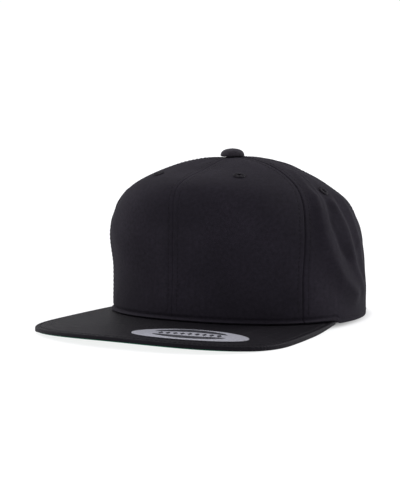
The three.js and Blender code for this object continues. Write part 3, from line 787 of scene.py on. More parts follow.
def stitch_row(points, normals, pitch=STITCH_PITCH, length=STITCH_LENGTH, radius=THREAD_RADIUS):
    """Points of a row of stitches along a line: an array of stitches, stations, sides and x, y, z."""
    steps = np.linalg.norm(np.diff(points, axis=0), axis=1)
    far = np.concatenate([[0], np.cumsum(steps)])
    count = int(far[-1] / pitch)
    starts = (np.arange(count) + 0.5) * pitch + (far[-1] - count * pitch) / 2
    parts = np.linspace(-0.5, 0.5, STITCH_STATIONS)
    places = starts[:, None] + parts * length
    at = np.stack([np.interp(places, far, points[:, k]) for k in range(3)], -1)
    up = unit(np.stack([np.interp(places, far, normals[:, k]) for k in range(3)], -1))
    ahead = unit(np.gradient(at, axis=1))
    side = unit(np.cross(ahead, up))
    rise = radius * (0.75 - 5.0 * parts**2)
    width = radius * (1 - 1.6 * parts**2)
    turns = np.arange(STITCH_SIDES) / STITCH_SIDES * 2 * math.pi
    ring = (
        side[:, :, None] * np.cos(turns)[:, None]
        + up[:, :, None] * np.sin(turns)[:, None]
    )
    return at[:, :, None] + up[:, :, None] * rise[None, :, None, None] + ring * width[None, :, None, None]


def stitch_faces(count):
    """Faces of stitches laid out as stitch_row does: tubes with closed ends."""
    faces = []
    block = STITCH_STATIONS * STITCH_SIDES
    for stitch in range(count):
        base = stitch * block
        for station in range(STITCH_STATIONS - 1):
            for side in range(STITCH_SIDES):
                a = base + station * STITCH_SIDES + side
                b = base + station * STITCH_SIDES + (side + 1) % STITCH_SIDES
                faces.append((a, b, b + STITCH_SIDES, a + STITCH_SIDES))
        faces.append([base + side for side in reversed(range(STITCH_SIDES))])
        faces.append([base + block - STITCH_SIDES + side for side in range(STITCH_SIDES)])
    return faces


def add_stitches(name, rows, material, slot):
    """Joins rows of stitches, given in the crown's frame, into one piece."""
    stitches = np.concatenate(rows)
    points = tipped(stitches.reshape(-1, 3)) + SHIFT
    piece = add_piece(name, points, stitch_faces(len(stitches)), material, slot)
    print(name, len(stitches), "stitches")
    return piece


# %% [markdown]
# Two rows run beside every seam of the crown, one on each panel. A hem row follows the rim behind the
# peak, and another follows the arch. All lie in a shallow groove that the thread has pulled into the
# cloth.

# %% Stitching of the crown
ROW_SAMPLES = 240
SEAM_ROW_FOOT = 0.036
SEAM_ROW_TOP = 0.93


def surface_line(name, hand, across, rise):
    """A line on a panel's outer surface with its normals, mirrored for the right hand."""
    flip = np.array([-1, 1, 1]) if hand == "right" else np.ones(3)
    points = panel_surface(name, hand, across, rise)
    normals = crown_normal(panel_turn(name, across, rise), rise)
    return points * flip, normals * flip


def seam_rows(name, hand):
    rise = np.linspace(SEAM_ROW_FOOT, SEAM_ROW_TOP, ROW_SAMPLES)
    share = STITCH_FROM_SEAM / (panel_radius(name, rise) * PANEL_SPAN)
    rows = []
    for across in (share, 1 - share):
        seam_at_arch = name == "back" and across[0] > 0.5
        clear = arch_distance(across, rise) > ARCH_HEM + 2 * MM if seam_at_arch else rise >= 0
        rows.append(stitch_row(*surface_line(name, hand, across[clear], rise[clear])))
    return rows


def rim_rows(name, hand):
    across = np.linspace(0.01, 0.99, ROW_SAMPLES * 2)
    turn = panel_turn(name, across, np.zeros_like(across))
    rise = rise_at_level(turn, rim_level(turn) + RIM_STITCH_HEIGHT)
    clear = turn > PEAK_END_TURN + RIM_STEP[1]
    if name == "back":
        clear &= arch_distance(across, rise) > ARCH_HEM
    return [stitch_row(*surface_line(name, hand, across[clear], rise[clear]))]


def arch_row(hand):
    angle = np.linspace(0.06, math.pi / 2 - 0.02, ROW_SAMPLES)
    x = (ARCH_HALF_WIDTH + ARCH_HEM) * np.cos(angle)
    level = base_level(math.pi) + (ARCH_HEIGHT + ARCH_HEM) * np.sin(angle)
    turn = math.pi - np.arcsin(x / HALF_WIDTH)
    rise = rise_at_level(turn, level)
    for _ in range(6):
        place = crown_point(turn, rise)
        sine = np.sin(math.pi - turn) * x / np.maximum(place[:, 0], 1e-6)
        turn = math.pi - np.arcsin(np.clip(sine, 0, 1))
        rise = rise + (level - place[:, 2]) / (CROWN_HEIGHT * LOW_RISE * ARC_SPANS)
    across = turn / PANEL_SPAN - PANELS["back"]["order"]
    return [stitch_row(*surface_line("back", hand, across, rise))]


crown_rows, hem_rows = [], []
for panel_hand in ("left", "right"):
    for panel_name in PANELS:
        crown_rows += seam_rows(panel_name, panel_hand)
    hem_rows += rim_rows("side", panel_hand) + rim_rows("back", panel_hand) + arch_row(panel_hand)
add_stitches("crown_seam_stitches", crown_rows, black_thread, "eyelet_thread")
add_stitches("rim_and_arch_stitches", hem_rows, black_thread, "eyelet_thread")

# %% [markdown]
# ## Embroidered eyelets
# Each panel has a vent hole, bound by machine with a dense satin stitch: threads laid side by side over
# the edge, from the hole out to a ring. A plain ring would look like rubber. Here the ring's section
# is a closed loop, and each thread is a ridge across it, with outer ends that don't quite line up.

# %% Eyelets
EYELET_BORE = 1.4 * MM
EYELET_SLEEVE = 0.8 * MM
EYELET_HEIGHT = 1.0 * MM
EYELET_THREADS = 34
THREAD_STEPS = 4
THREAD_RIDGE = 0.16 * MM


def loop_through(corners, count):
    """A smooth closed line through the corners of a section."""
    corners = np.asarray(corners, float)
    place = np.linspace(0, len(corners), count, endpoint=False)
    span = place.astype(int)
    neighbours = (corners[(span + k) % len(corners)] for k in (-1, 0, 1, 2))
    return smooth_span(*neighbours, (place - span)[:, None])


def ring_faces(rounds, steps):
    """Quads of a grid that closes on itself both ways."""
    index = np.arange(rounds * steps).reshape(rounds, steps)
    ahead, over = np.roll(index, -1, axis=0), np.roll(index, -1, axis=1)
    both = np.roll(ahead, -1, axis=1)
    return np.stack([index, ahead, both, over], -1).reshape(-1, 4).tolist()


def build_eyelet(name, hand):
    share, rise = np.array(PANELS[name]["eyelet"])
    seat = panel_surface(name, hand, share, rise)
    out = crown_normal(panel_turn(name, share, rise), rise)
    side = unit(np.cross(out, [0, 0, 1]))
    upward = np.cross(side, out)
    wall = PANELS[name]["wall"]
    section = loop_through(
        [
            (EYELET_BORE, -wall - 0.2 * MM),
            (EYELET_BORE, EYELET_HEIGHT * 0.35),
            (EYELET_BORE * 1.35, EYELET_HEIGHT * 0.85),
            (EYELET_RADIUS * 0.62, EYELET_HEIGHT),
            (EYELET_RADIUS * 0.88, EYELET_HEIGHT * 0.72),
            (EYELET_RADIUS, EYELET_HEIGHT * 0.18),
            (EYELET_RADIUS * 0.9, -0.25 * MM),
            (EYELET_BORE + EYELET_SLEEVE, -0.3 * MM),
            (EYELET_BORE + EYELET_SLEEVE, -wall - 0.2 * MM),
        ],
        36,
    )
    rounds = EYELET_THREADS * THREAD_STEPS
    angle = np.arange(rounds) / rounds * 2 * math.pi
    ridge = np.abs(np.sin(angle * EYELET_THREADS / 2))
    thread = np.arange(rounds) // THREAD_STEPS
    uneven = 0.14 * MM * np.sin(thread * 2.4) * np.sin(thread * 5.1 + 1)
    outward = smooth(section[:, 0], EYELET_RADIUS * 0.7, EYELET_RADIUS)
    above = smooth(section[:, 1], -0.3 * MM, 0.4 * MM)
    radius = section[:, 0] + uneven[:, None] * outward
    height = section[:, 1] + THREAD_RIDGE * (ridge[:, None] - 0.6) * above
    flat = np.cos(angle)[:, None, None] * side + np.sin(angle)[:, None, None] * upward
    points = seat + flat * radius[..., None] + out * height[..., None]
    faces = ring_faces(rounds, len(section))
    if hand == "right":
        points = points * [-1, 1, 1]
        faces = [face[::-1] for face in faces]
    points = tipped(points.reshape(-1, 3)) + SHIFT
    node = f"eyelet_{name}_{hand}"
    return add_piece(f"ring_{name}_{hand}", points, faces, black_thread, "eyelet_thread", node)


for panel_name in PANELS:
    for panel_hand in ("left", "right"):
        build_eyelet(panel_name, panel_hand)

# %% [markdown]
# ## The button
# A squatchee is a small metal dome with the crown's cloth pulled over it, pressed onto a shank that
# holds the six tips together. The cloth gathers in faint pleats where it turns under the edge. A lathed
# profile with a ripple that fades towards the top gives both.

# %% Button
BUTTON_RADIUS = 8.5 * MM
BUTTON_SHANK_CLEARANCE = 1.5 * MM
BUTTON_WASHER_RADIUS = 6 * MM
BUTTON_WASHER_THICKNESS = 1 * MM
BUTTON_PLEATS = 18
BUTTON_SIDES = 144
BUTTON_DOME = [
    (0.90, 0.06),
    (0.985, 0.10),
    (1.0, 0.22),
    (0.965, 0.45),
    (0.84, 0.70),
    (0.60, 0.88),
    (0.30, 0.97),
]


def button_profile():
    """Radii and heights from the washer inside, up the shank, out under the dome and over it."""
    rise = 1 - BUTTON_WASHER_RADIUS / (HALF_WIDTH * TOP_SPREAD) / ARC_SPANS
    turns = np.radians([0, 60, 120, 180])
    fall = CROWN_HEIGHT - crown_point(turns, rise)[:, 2].min()
    inside = -PANELS["front"]["wall"] - CLEARANCE - fall
    shank = BUTTON_HOLE_RADIUS - BUTTON_SHANK_CLEARANCE
    lower = [
        (BUTTON_WASHER_RADIUS * 0.5, inside - BUTTON_WASHER_THICKNESS),
        (BUTTON_WASHER_RADIUS, inside - BUTTON_WASHER_THICKNESS * 0.8),
        (BUTTON_WASHER_RADIUS, inside),
        (shank, inside),
        (shank, CLEARANCE),
        (BUTTON_RADIUS * 0.8, CLEARANCE * 0.6),
    ]
    dome = [(BUTTON_RADIUS * r, BUTTON_HEIGHT * h) for r, h in BUTTON_DOME]
    fine = []
    for start, end in zip(dome, dome[1:] + [(0, BUTTON_HEIGHT)]):
        fine += [tuple(np.array(start) + (np.array(end) - start) * part) for part in (0, 0.34, 0.67)]
    return np.array(lower + fine)


def build_button():
    profile = button_profile()
    smoothed = profile.copy()
    dome_start = 7
    for _ in range(3):
        before, after = smoothed[dome_start - 1 : -2], smoothed[dome_start + 1 :]
        smoothed[dome_start:-1] = (before + 2 * smoothed[dome_start:-1] + after) / 4
    angle = np.arange(BUTTON_SIDES) / BUTTON_SIDES * 2 * math.pi
    pleat = np.cos(angle * BUTTON_PLEATS) * (0.7 + 0.3 * np.cos(angle * 5 + 1))
    low = 1 - smooth(smoothed[:, 1], BUTTON_HEIGHT * 0.2, BUTTON_HEIGHT * 0.65)
    ripple = 0.10 * MM * pleat[:, None] * low * (smoothed[:, 1] > 0)
    radius = smoothed[:, 0] + ripple
    flat = np.stack([np.cos(angle)[:, None] * radius, np.sin(angle)[:, None] * radius], -1)
    height = np.broadcast_to(smoothed[:, 1], radius.shape)
    points = np.concatenate([flat, height[..., None]], -1).reshape(-1, 3)
    steps = len(smoothed)
    top, bottom = len(points), len(points) + 1
    points = np.concatenate([points, [[0, 0, BUTTON_HEIGHT], [0, 0, smoothed[0, 1]]]])
    faces = []
    for side in range(BUTTON_SIDES):
        here, there = side * steps, (side + 1) % BUTTON_SIDES * steps
        faces += [(here + k, there + k, there + k + 1, here + k + 1) for k in range(steps - 1)]
        faces += [(here + steps - 1, there + steps - 1, top), (there, here, bottom)]
    cloth = points[:, :2].copy()
    points = tipped(points + [0, -CROWN_TOP_FORWARD, CROWN_HEIGHT]) + SHIFT
    return add_piece("covered_button", points, faces, button_twill_painted_light, "button_cloth", "top_button", cloth)


button = build_button()
print("button, mm:", np.round(np.array(button.dimensions) / MM, 1))

# %% [markdown]
# ## The peak
# A board of stiff plastic is covered with black twill on top and green twill below, and sewn through in
# rows that follow its edge. The two cloths meet in a seam round the edge, where the black one rolls over
# the board. The form is ruled from the crown's seam out to the edge; what makes it look sewn is the
# rounded edge and the grooves of the stitching, measured by true distance from the edge.

# %% Outline of the peak
PEAK_LENGTH = 69 * MM
PEAK_FRONT_DEPTH = 67 * MM
PEAK_SQUARENESS = 2.4
PEAK_FRONT_Y = -(HALF_LENGTH + PEAK_LENGTH)
PEAK_WIDEST_Y = PEAK_FRONT_Y + PEAK_FRONT_DEPTH
PEAK_STATIONS = 250
PEAK_LINES = 88
END_PART = 0.1
peak_end = crown_point(PEAK_END_TURN, 0)
TAIL_REACH = (peak_end[1] - PEAK_WIDEST_Y) / math.sqrt(1 - (peak_end[0] / PEAK_HALF_WIDTH) ** 2)
OUTLINE_END = math.acos((PEAK_WIDEST_Y - peak_end[1]) / TAIL_REACH)


def evenly(points, count):
    """The same line with evenly spaced points."""
    far = np.concatenate([[0], np.cumsum(np.linalg.norm(np.diff(points, axis=0), axis=1))])
    places = np.linspace(0, far[-1], count + 1)
    return np.stack([np.interp(places, far, points[:, k]) for k in range(points.shape[1])], -1)


def peak_outline(count):
    """Outer edge from above: a squarish front, then sides that curve in to the crown."""
    turn = np.linspace(OUTLINE_END, -OUTLINE_END, 4001)
    sine, cosine = np.sin(turn), np.cos(turn)
    power = np.where(cosine > 0, 2 / PEAK_SQUARENESS, 1)
    reach = np.where(cosine > 0, PEAK_FRONT_DEPTH, TAIL_REACH)
    x = PEAK_HALF_WIDTH * np.sign(sine) * np.abs(sine) ** power
    y = PEAK_WIDEST_Y - reach * np.sign(cosine) * np.abs(cosine) ** power
    return evenly(np.stack([x, y], -1), count)


def peak_seam(count):
    """Inner edge, sewn in under the wall."""
    turn = np.linspace(PEAK_END_TURN, -PEAK_END_TURN, 1001)
    wall = wall_point(turn, np.zeros_like(turn), np.full_like(turn, PANELS["front"]["wall"]))
    return evenly(wall[:, :2], count)


def edge_distance(points):
    """Distance of each point to the outline, seen from above."""
    edge = peak_outline(600)
    flat = points.reshape(-1, 2)
    nearest = np.full(len(flat), 1.0)
    for start, end in zip(edge[:-1], edge[1:]):
        line = end - start
        part = np.clip((flat - start) @ line / (line @ line), 0, 1)
        nearest = np.minimum(nearest, np.linalg.norm(flat - start - part[:, None] * line, axis=1))
    return nearest.reshape(points.shape[:-1])


# %% Build the two cloths of the peak
PEAK_ROWS = 8
FIRST_ROW = 3.4 * MM
ROW_SPACING = 7.0 * MM
PEAK_GROOVE = 0.26 * MM
EDGE_RADIUS = 1.1 * MM
EDGE_WRAP = 0.35 * MM
END_WRAP = 0.55 * MM
UNDER_INSET = 1.0 * MM
# Where, sideways from the middle, the edge begins to wrap deeper, and where it has its full depth
END_WRAP_FROM = 62 * MM
END_WRAP_TO = 84 * MM
# The rows inside the first one pull the cloth in less
INNER_ROW_PULL = 0.3


def peak_depths(distance, groove):
    """How far stitching pulls a cloth of the peak towards the board."""
    rows = [FIRST_ROW + ROW_SPACING * k for k in range(PEAK_ROWS)]
    pulled = hump(distance, rows[0], 0.9 * MM)
    pulled = pulled + INNER_ROW_PULL * sum(hump(distance, row, 0.9 * MM) for row in rows[1:])
    return groove * pulled * smooth(distance, 0, FIRST_ROW)


def build_peak_cloth(name, node, top, thickness, set_in, radius, material, slot):
    """One layer of the peak between two depths below its upper side."""
    outer, inner = peak_outline(PEAK_STATIONS), peak_seam(PEAK_STATIONS)
    line = outer - inner
    length = np.linalg.norm(line, axis=1)
    last = 1 - np.minimum(set_in, length / 4) / length
    share = 1 - (1 - np.linspace(0, 1, PEAK_LINES + 1)) ** 1.25
    place = inner[:, None] + line[:, None] * (share * last[:, None])[..., None]
    distance = edge_distance(place)
    from_end = np.minimum(np.arange(PEAK_STATIONS + 1), np.arange(PEAK_STATIONS + 1)[::-1]) / PEAK_STATIONS
    full = PEAK_END_THINNING + (1 - PEAK_END_THINNING) * smooth(from_end, 0, END_PART)[:, None]
    inset = np.maximum(distance - set_in, 0)
    near = np.clip(1 - inset / radius, 0, 1)
    roll = radius * (1 - np.sqrt(np.maximum(1 - near**2, 0)))
    upper = (CLEARANCE + (top - CLEARANCE) * full) if top > 0 else np.zeros_like(full)
    lower = upper + thickness * full
    on_top = top == 0
    level = peak_level(place[..., 0])
    pulled = peak_depths(distance, PEAK_GROOVE)
    if on_top:
        face_depth = upper + (np.minimum(roll, thickness * 0.8) * full + pulled)
        wrap = EDGE_WRAP + END_WRAP * smooth(np.abs(place[..., 0]), END_WRAP_FROM, END_WRAP_TO)
        back_depth = lower + wrap * full * (1 - smooth(distance, 0.5 * MM, 0.8 * MM))
    else:
        face_depth = upper
        back_depth = lower - np.minimum(roll, thickness * 0.7) * full - pulled
    outer_grid = np.concatenate([place, (level - face_depth)[..., None]], -1)
    inner_grid = np.concatenate([place, (level - back_depth)[..., None]], -1)
    keep = np.ones((PEAK_STATIONS, PEAK_LINES), bool)
    mesh = sheet_mesh(outer_grid, inner_grid, keep, place)
    piece = add_piece(name, *mesh[:2], material, slot, node, mesh[2])
    print(name, "mm:", np.round(np.array(piece.dimensions) / MM, 1))
    return piece


build_peak_cloth(
    "peak_top_cloth",
    "peak_upper",
    0,
    PEAK_BOARD + 0.15 * MM,
    0,
    EDGE_RADIUS,
    peak_twill_painted_shade,
    "peak_cloth",
)
build_peak_cloth(
    "peak_under_cloth",
    "peak_under",
    PEAK_BOARD + CLEARANCE,
    UNDER_CLOTH,
    UNDER_INSET,
    0.5 * MM,
    under_twill,
    "under_cloth",
)

# %% [markdown]
# The rows of stitching follow the edge at even distances, and run out where they reach the crown. They
# go right through, so the same rows show below in green thread.

# %% Stitching of the peak
def peak_rows(under):
    edge = peak_outline(1200)
    ahead = unit(np.gradient(edge, axis=0))
    inward = np.stack([ahead[:, 1], -ahead[:, 0]], -1)
    inward *= np.sign(((np.array([0, PEAK_WIDEST_Y]) - edge) * inward).sum(1))[:, None]
    rows = []
    for k in range(PEAK_ROWS):
        row = edge + inward * (FIRST_ROW + ROW_SPACING * k)
        true_distance = edge_distance(row)
        turn = np.arctan2(row[:, 0] / HALF_WIDTH, -row[:, 1] / HALF_LENGTH)
        wall = crown_point(turn, np.zeros_like(turn))[:, :2]
        outside = np.linalg.norm(row, axis=1) - np.linalg.norm(wall, axis=1) > 1.5 * MM
        clear = outside & (true_distance > (FIRST_ROW + ROW_SPACING * k) * 0.97)
        if clear.sum() < 20:
            continue
        row = row[clear]
        depth = PEAK_BOARD + CLEARANCE + UNDER_CLOTH - PEAK_GROOVE if under else PEAK_GROOVE
        points = np.concatenate([row, (peak_level(row[:, 0]) - depth)[:, None]], -1)
        slope = 2 * PEAK_ARCH * row[:, 0] / PEAK_HALF_WIDTH**2
        normals = unit(np.stack([slope, np.zeros_like(slope), np.ones_like(slope)], -1))
        rows.append(stitch_row(points, -normals if under else normals))
    return rows


add_stitches("peak_top_stitches", peak_rows(False), black_thread, "eyelet_thread")
add_stitches("peak_under_stitches", peak_rows(True), green_thread, "under_cloth")

# %% [markdown]
# ## The label
# A thin oval sticker of silver foil lies turned a little on the peak. It carries a plain ornament of
# two dark arcs and a row of lozenges. It could be one flat cutout. Here the leaf is a grid of rings,
# and the ornament is a second, thinner mesh on it, so that both keep a clean edge when seen close.

# %% Label
LABEL_HALF_LENGTH = 37 * MM
LABEL_HALF_WIDTH = 16.7 * MM
LABEL_TO_LEFT = 36.2 * MM
LABEL_FROM_FRONT = 32.4 * MM
LABEL_TURN = math.radians(19.5)
LABEL_THICKNESS = 0.4 * MM
LABEL_SIDES = 120
LABEL_RINGS = 16
LABEL_LIFT = CLEARANCE


def on_label(along, over, lift):
    """A place on the label, from its middle along its length and over its width."""
    x = LABEL_TO_LEFT + along * math.cos(LABEL_TURN) - over * math.sin(LABEL_TURN)
    y = PEAK_FRONT_Y + LABEL_FROM_FRONT + along * math.sin(LABEL_TURN) + over * math.cos(LABEL_TURN)
    return np.stack([x, y, peak_level(x) + lift], -1)


def build_label():
    angle = np.linspace(0, 2 * math.pi, LABEL_SIDES, endpoint=False)
    ring = np.linspace(0, 1, LABEL_RINGS + 1)[1:]
    along = LABEL_HALF_LENGTH * np.outer(ring, np.cos(angle))
    over = LABEL_HALF_WIDTH * np.outer(ring, np.sin(angle))
    worn = 0.2 * MM * smooth(ring, 0.97, 1.0)[:, None]
    upper = on_label(along, over, LABEL_LIFT + LABEL_THICKNESS - worn).reshape(-1, 3)
    lower = on_label(along, over, LABEL_LIFT + 0 * along).reshape(-1, 3)
    centre = on_label(np.array(0.0), np.array(0.0), np.array(LABEL_LIFT + LABEL_THICKNESS))
    below = on_label(np.array(0.0), np.array(0.0), np.array(LABEL_LIFT))
    points = np.concatenate([upper, lower, [centre, below]])
    count = len(upper)
    faces = []
    for side in range(LABEL_SIDES):
        beside = (side + 1) % LABEL_SIDES
        for k in range(LABEL_RINGS - 1):
            a, b = k * LABEL_SIDES + side, k * LABEL_SIDES + beside
            c, d = b + LABEL_SIDES, a + LABEL_SIDES
            faces += [(a, d, c, b), (a + count, b + count, c + count, d + count)]
        rim, rim_beside = count - LABEL_SIDES + side, count - LABEL_SIDES + beside
        faces += [(rim, rim + count, rim_beside + count, rim_beside)]
        faces += [(side, beside, 2 * count), (beside + count, side + count, 2 * count + 1)]
    return add_piece("label_leaf", tipped(points) + SHIFT, faces, label_foil, "label_foil", "peak_label")


def ribbon(centre, width, lift, thickness=0.06 * MM):
    """A thin closed band on the label along a line of (along, over) points, with its width there."""
    ahead = unit(np.gradient(centre, axis=0))
    side = np.stack([-ahead[:, 1], ahead[:, 0]], -1) * np.asarray(width)[..., None] / 2
    edges = [centre + side, centre - side]
    top = [on_label(e[:, 0], e[:, 1], np.full(len(e), lift + thickness)) for e in edges]
    base = [on_label(e[:, 0], e[:, 1], np.full(len(e), lift)) for e in edges]
    outer = np.stack(top, 1)[:, ::-1]
    inner = np.stack(base, 1)[:, ::-1]
    keep = np.ones((len(centre) - 1, 1), bool)
    points = np.concatenate([outer.reshape(-1, 3), inner.reshape(-1, 3)])
    return points, sheet_faces(keep)


ARC_REACH = 0.62
ARC_WIDTH = 7.2 * MM
LOZENGE_HEIGHT = 7.2 * MM
LOZENGE_PITCH = 4.6 * MM
LOZENGES = 9


def build_ornament():
    parts = []
    lift = LABEL_LIFT + LABEL_THICKNESS
    share = np.linspace(-1, 1, 81)
    for hand in (-1, 1):
        along = LABEL_HALF_LENGTH * ARC_REACH * share
        over = hand * LABEL_HALF_WIDTH * (0.60 - 0.33 * share**2)
        width = ARC_WIDTH * (1 - share**2) ** 0.6 + 0.2 * MM
        parts.append(ribbon(np.stack([along, over], -1), width, lift))
    for k in range(LOZENGES):
        middle = (k - (LOZENGES - 1) / 2) * LOZENGE_PITCH
        line = np.stack([middle + LOZENGE_PITCH * np.array([-0.36, 0, 0.36]), np.zeros(3)], -1)
        parts.append(ribbon(line, LOZENGE_HEIGHT * np.array([0.05, 1, 0.05]), lift))
    points, faces, start = [], [], 0
    for part_points, part_faces in parts:
        points.append(part_points)
        faces += (part_faces + start).tolist()
        start += len(part_points)
    place = tipped(np.concatenate(points)) + SHIFT
    return add_piece("label_ornament", place, faces, label_ink, "label_foil")


build_label()
build_ornament()

# %% [markdown]
# ## Inside the cap
# A sweatband lies against the wall above the rim: a doubled strip of twill, sewn to the rim and turned
# up inside. It steps in over the strap's tabs. The picture hides it, so it is kept plain, with one
# row of stitches along its upper edge.

# %% Sweatband
SWEATBAND_HEIGHT = 32 * MM
SWEATBAND_THICKNESS = 1.2 * MM
STRAP_THICKNESS = 1.5 * MM
STRAP_TAB = 13 * MM
BAND_MARGIN = 2 * MM
ARCH_TURN = math.asin(ARCH_HALF_WIDTH / HALF_WIDTH)
TAB_END = ARCH_TURN * HALF_WIDTH + STRAP_TAB
BAND_STATIONS = 300
BAND_LINES = 24


def turn_at_back(distance):
    return math.pi - distance / HALF_WIDTH


def band_depth(turn):
    from_back = (math.pi - np.abs(turn)) * HALF_WIDTH
    over = 1 - smooth(from_back, TAB_END + BAND_MARGIN, TAB_END + 5 * BAND_MARGIN)
    return PANELS["front"]["wall"] + CLEARANCE + (STRAP_THICKNESS + CLEARANCE) * over


def build_sweatband():
    end = turn_at_back(ARCH_TURN * HALF_WIDTH + BAND_MARGIN)
    turns = np.linspace(-end, end, BAND_STATIONS + 1)
    turn, part = np.meshgrid(turns, crowded(BAND_LINES, 0.5), indexing="ij")
    rise = rise_at_level(turn, base_level(turn) + CLEARANCE + SWEATBAND_HEIGHT * part)
    worn = 0.35 * MM * (hump(part, 0, 0.02) + hump(part, 1, 0.02))
    pulled = 0.2 * MM * hump(part, 0.88, 0.03)
    depth = band_depth(turn)
    outer = wall_point(turn, rise, depth + worn)
    inner = wall_point(turn, rise, depth + SWEATBAND_THICKNESS - worn - pulled)
    keep = np.ones((BAND_STATIONS, BAND_LINES), bool)
    cloth = np.stack([turn * HALF_WIDTH, part * SWEATBAND_HEIGHT], -1)
    mesh = sheet_mesh(outer, inner, keep, cloth)
    piece = add_piece("sweatband_cloth", *mesh[:2], band_twill, "band_cloth", "sweatband", mesh[2])
    line_turn = np.linspace(-end + 0.02, end - 0.02, 1200)
    line_rise = rise_at_level(line_turn, base_level(line_turn) + CLEARANCE + SWEATBAND_HEIGHT * 0.88)
    surface = wall_point(line_turn, line_rise, band_depth(line_turn) + SWEATBAND_THICKNESS - 0.2 * MM)
    row = stitch_row(surface, -crown_normal(line_turn, line_rise))
    add_stitches("sweatband_stitches", [row], black_thread, "band_cloth")
    return piece


build_sweatband()

# %% [markdown]
# ## The strap
# Two moulded tongues overlap behind the head: the outer one has holes, the inner one has pegs that snap
# into them. The tongues bend round the crown's curve, so they are sheets on the wall as the cloth is,
# with the holes cut by the same function. Pegs are small lathed mushrooms.

# %% Strap
STRAP_HEIGHT = 18 * MM
STRAP_ABOVE_RIM = 1.5 * MM
SNAP_PITCH = 9.5 * MM
SNAP_HOLE = 2.6 * MM
SNAP_CLEARANCE = 0.6 * MM
SNAPS_CLOSED = 5
STRAP_END_BEYOND_SNAP = 5 * MM
STRAP_BEND = 8 * MM
TONGUE = 1.3 * MM
STRAP_DEPTH = PANELS["side"]["wall"] + CLEARANCE
OVERLAP_HALF = (SNAPS_CLOSED - 1) / 2 * SNAP_PITCH + STRAP_END_BEYOND_SNAP
STRAP_MIDDLE = float(base_level(math.pi - ARCH_TURN)) + STRAP_ABOVE_RIM + STRAP_HEIGHT / 2
SNAPS = [k * SNAP_PITCH for k in range(-(SNAPS_CLOSED // 2), SNAPS_CLOSED // 2 + 2)]
STRAP_STATIONS = 160
STRAP_LINES = 36


def tongue_half_height(distance):
    """Half the tongue's height: its free end is round."""
    rounding = STRAP_HEIGHT / 2
    into_end = np.clip((rounding - OVERLAP_HALF - distance) / rounding, 0, 1)
    return STRAP_HEIGHT / 2 * np.maximum(0.12, np.sqrt(1 - into_end**2))


def build_tongue(name, holed):
    distance, offset = np.meshgrid(
        -OVERLAP_HALF + crowded(STRAP_STATIONS, 0.3) * (TAB_END + OVERLAP_HALF),
        np.linspace(-1, 1, STRAP_LINES + 1),
        indexing="ij",
    )
    offset = offset * tongue_half_height(distance)
    keep = np.ones((STRAP_STATIONS, STRAP_LINES), bool)
    for snap in SNAPS if holed else []:
        middle = (snap, 0.0)
        distance, offset, keep = cut_hole(
            distance, offset, keep, middle, lambda d, o, at=snap: np.hypot(d - at, o) / SNAP_HOLE
        )
    under = 0 if holed else TONGUE * 1.04
    layer = STRAP_DEPTH + under * (1 - smooth(distance, OVERLAP_HALF, OVERLAP_HALF + STRAP_BEND))
    edge = tongue_half_height(distance) - np.abs(offset)
    rounded = 0.3 * MM * hump(edge, 0, 0.5 * MM)
    rib = 0.25 * MM * hump(edge, 1.2 * MM, 0.6 * MM)
    turn = turn_at_back(distance)
    rise = rise_at_level(turn, STRAP_MIDDLE + offset)
    outer = wall_point(turn, rise, layer + rounded - (rib if holed else 0))
    inner = wall_point(turn, rise, layer + TONGUE - rounded)
    cloth = np.stack([distance, offset], -1)
    points, faces, _ = sheet_mesh(outer[::-1], inner[::-1], keep[::-1], cloth[::-1], flipped=not holed)
    return add_piece(name, points, faces, strap_plastic, "strap_plastic", "snap_strap" if holed else None)


def build_pegs():
    """Pegs of the inner tongue: each goes through a hole of the outer one, and one is free."""
    radius = SNAP_HOLE - SNAP_CLEARANCE
    profile = [(0.75, -0.2), (0.72, 1.3), (0.86, 1.7), (0.84, 1.95), (0.6, 2.15), (0.0, 2.2)]
    section = np.array([(radius * r, h * MM) for r, h in profile])
    points, faces = [], []
    sides = 28
    angle = np.arange(sides) / sides * 2 * math.pi
    for snap in SNAPS:
        under = TONGUE * 1.04 * (1 - smooth(snap, OVERLAP_HALF, OVERLAP_HALF + STRAP_BEND))
        turn = np.array(turn_at_back(snap))
        rise = rise_at_level(turn, STRAP_MIDDLE)
        out = crown_normal(turn, rise)
        seat = wall_point(turn, rise, STRAP_DEPTH + under)
        side = unit(np.cross(out, [0, 0, 1]))
        flat = np.cos(angle)[:, None] * side + np.sin(angle)[:, None] * np.cross(side, out)
        rings = seat + flat[:, None] * section[:, 0][:, None] + out * section[:, 1][:, None]
        start, steps = sum(len(p) for p in points), len(section)
        points.append(rings.reshape(-1, 3) * [-1, 1, 1])
        for k in range(sides):
            here, there = start + k * steps, start + (k + 1) % sides * steps
            faces += [(here + j + 1, there + j + 1, there + j, here + j) for j in range(steps - 1)]
        faces.append([start + k * steps for k in range(sides)])
    place = tipped(np.concatenate(points)) + SHIFT
    return add_piece("strap_pegs", place, faces, strap_plastic, "strap_plastic")


build_tongue("strap_with_holes", True)
build_tongue("strap_with_pegs", False)
build_pegs()

# %% [markdown]
# ## Light, floor and camera
# The cap was pictured on plain white, nearly without a shadow. A lit acrylic floor and a pale horizon
# stand for the white, and a dimmer sky above leaves the shading to three soft lamps: a key lamp from the
# wearer's right, one from behind on the other side, and one over the top. The floor glows white, but a
# glow under the cap would shine up through the arch and the eyelets. So its glow is dimmed in an oval a
# little larger than the crown. This is painted shade, and it keeps the hollow dark. The oval's soft edge
# reaches past the rim as a faint painted shadow there. The lens is a short telephoto from under a metre
# away, just above the floor.

# %% Floor and sky
FLOOR_REACH = 12.0
FLOOR_GLOW = 0.85
UNDER_CAP_PAINTED_SHADE = 0.06


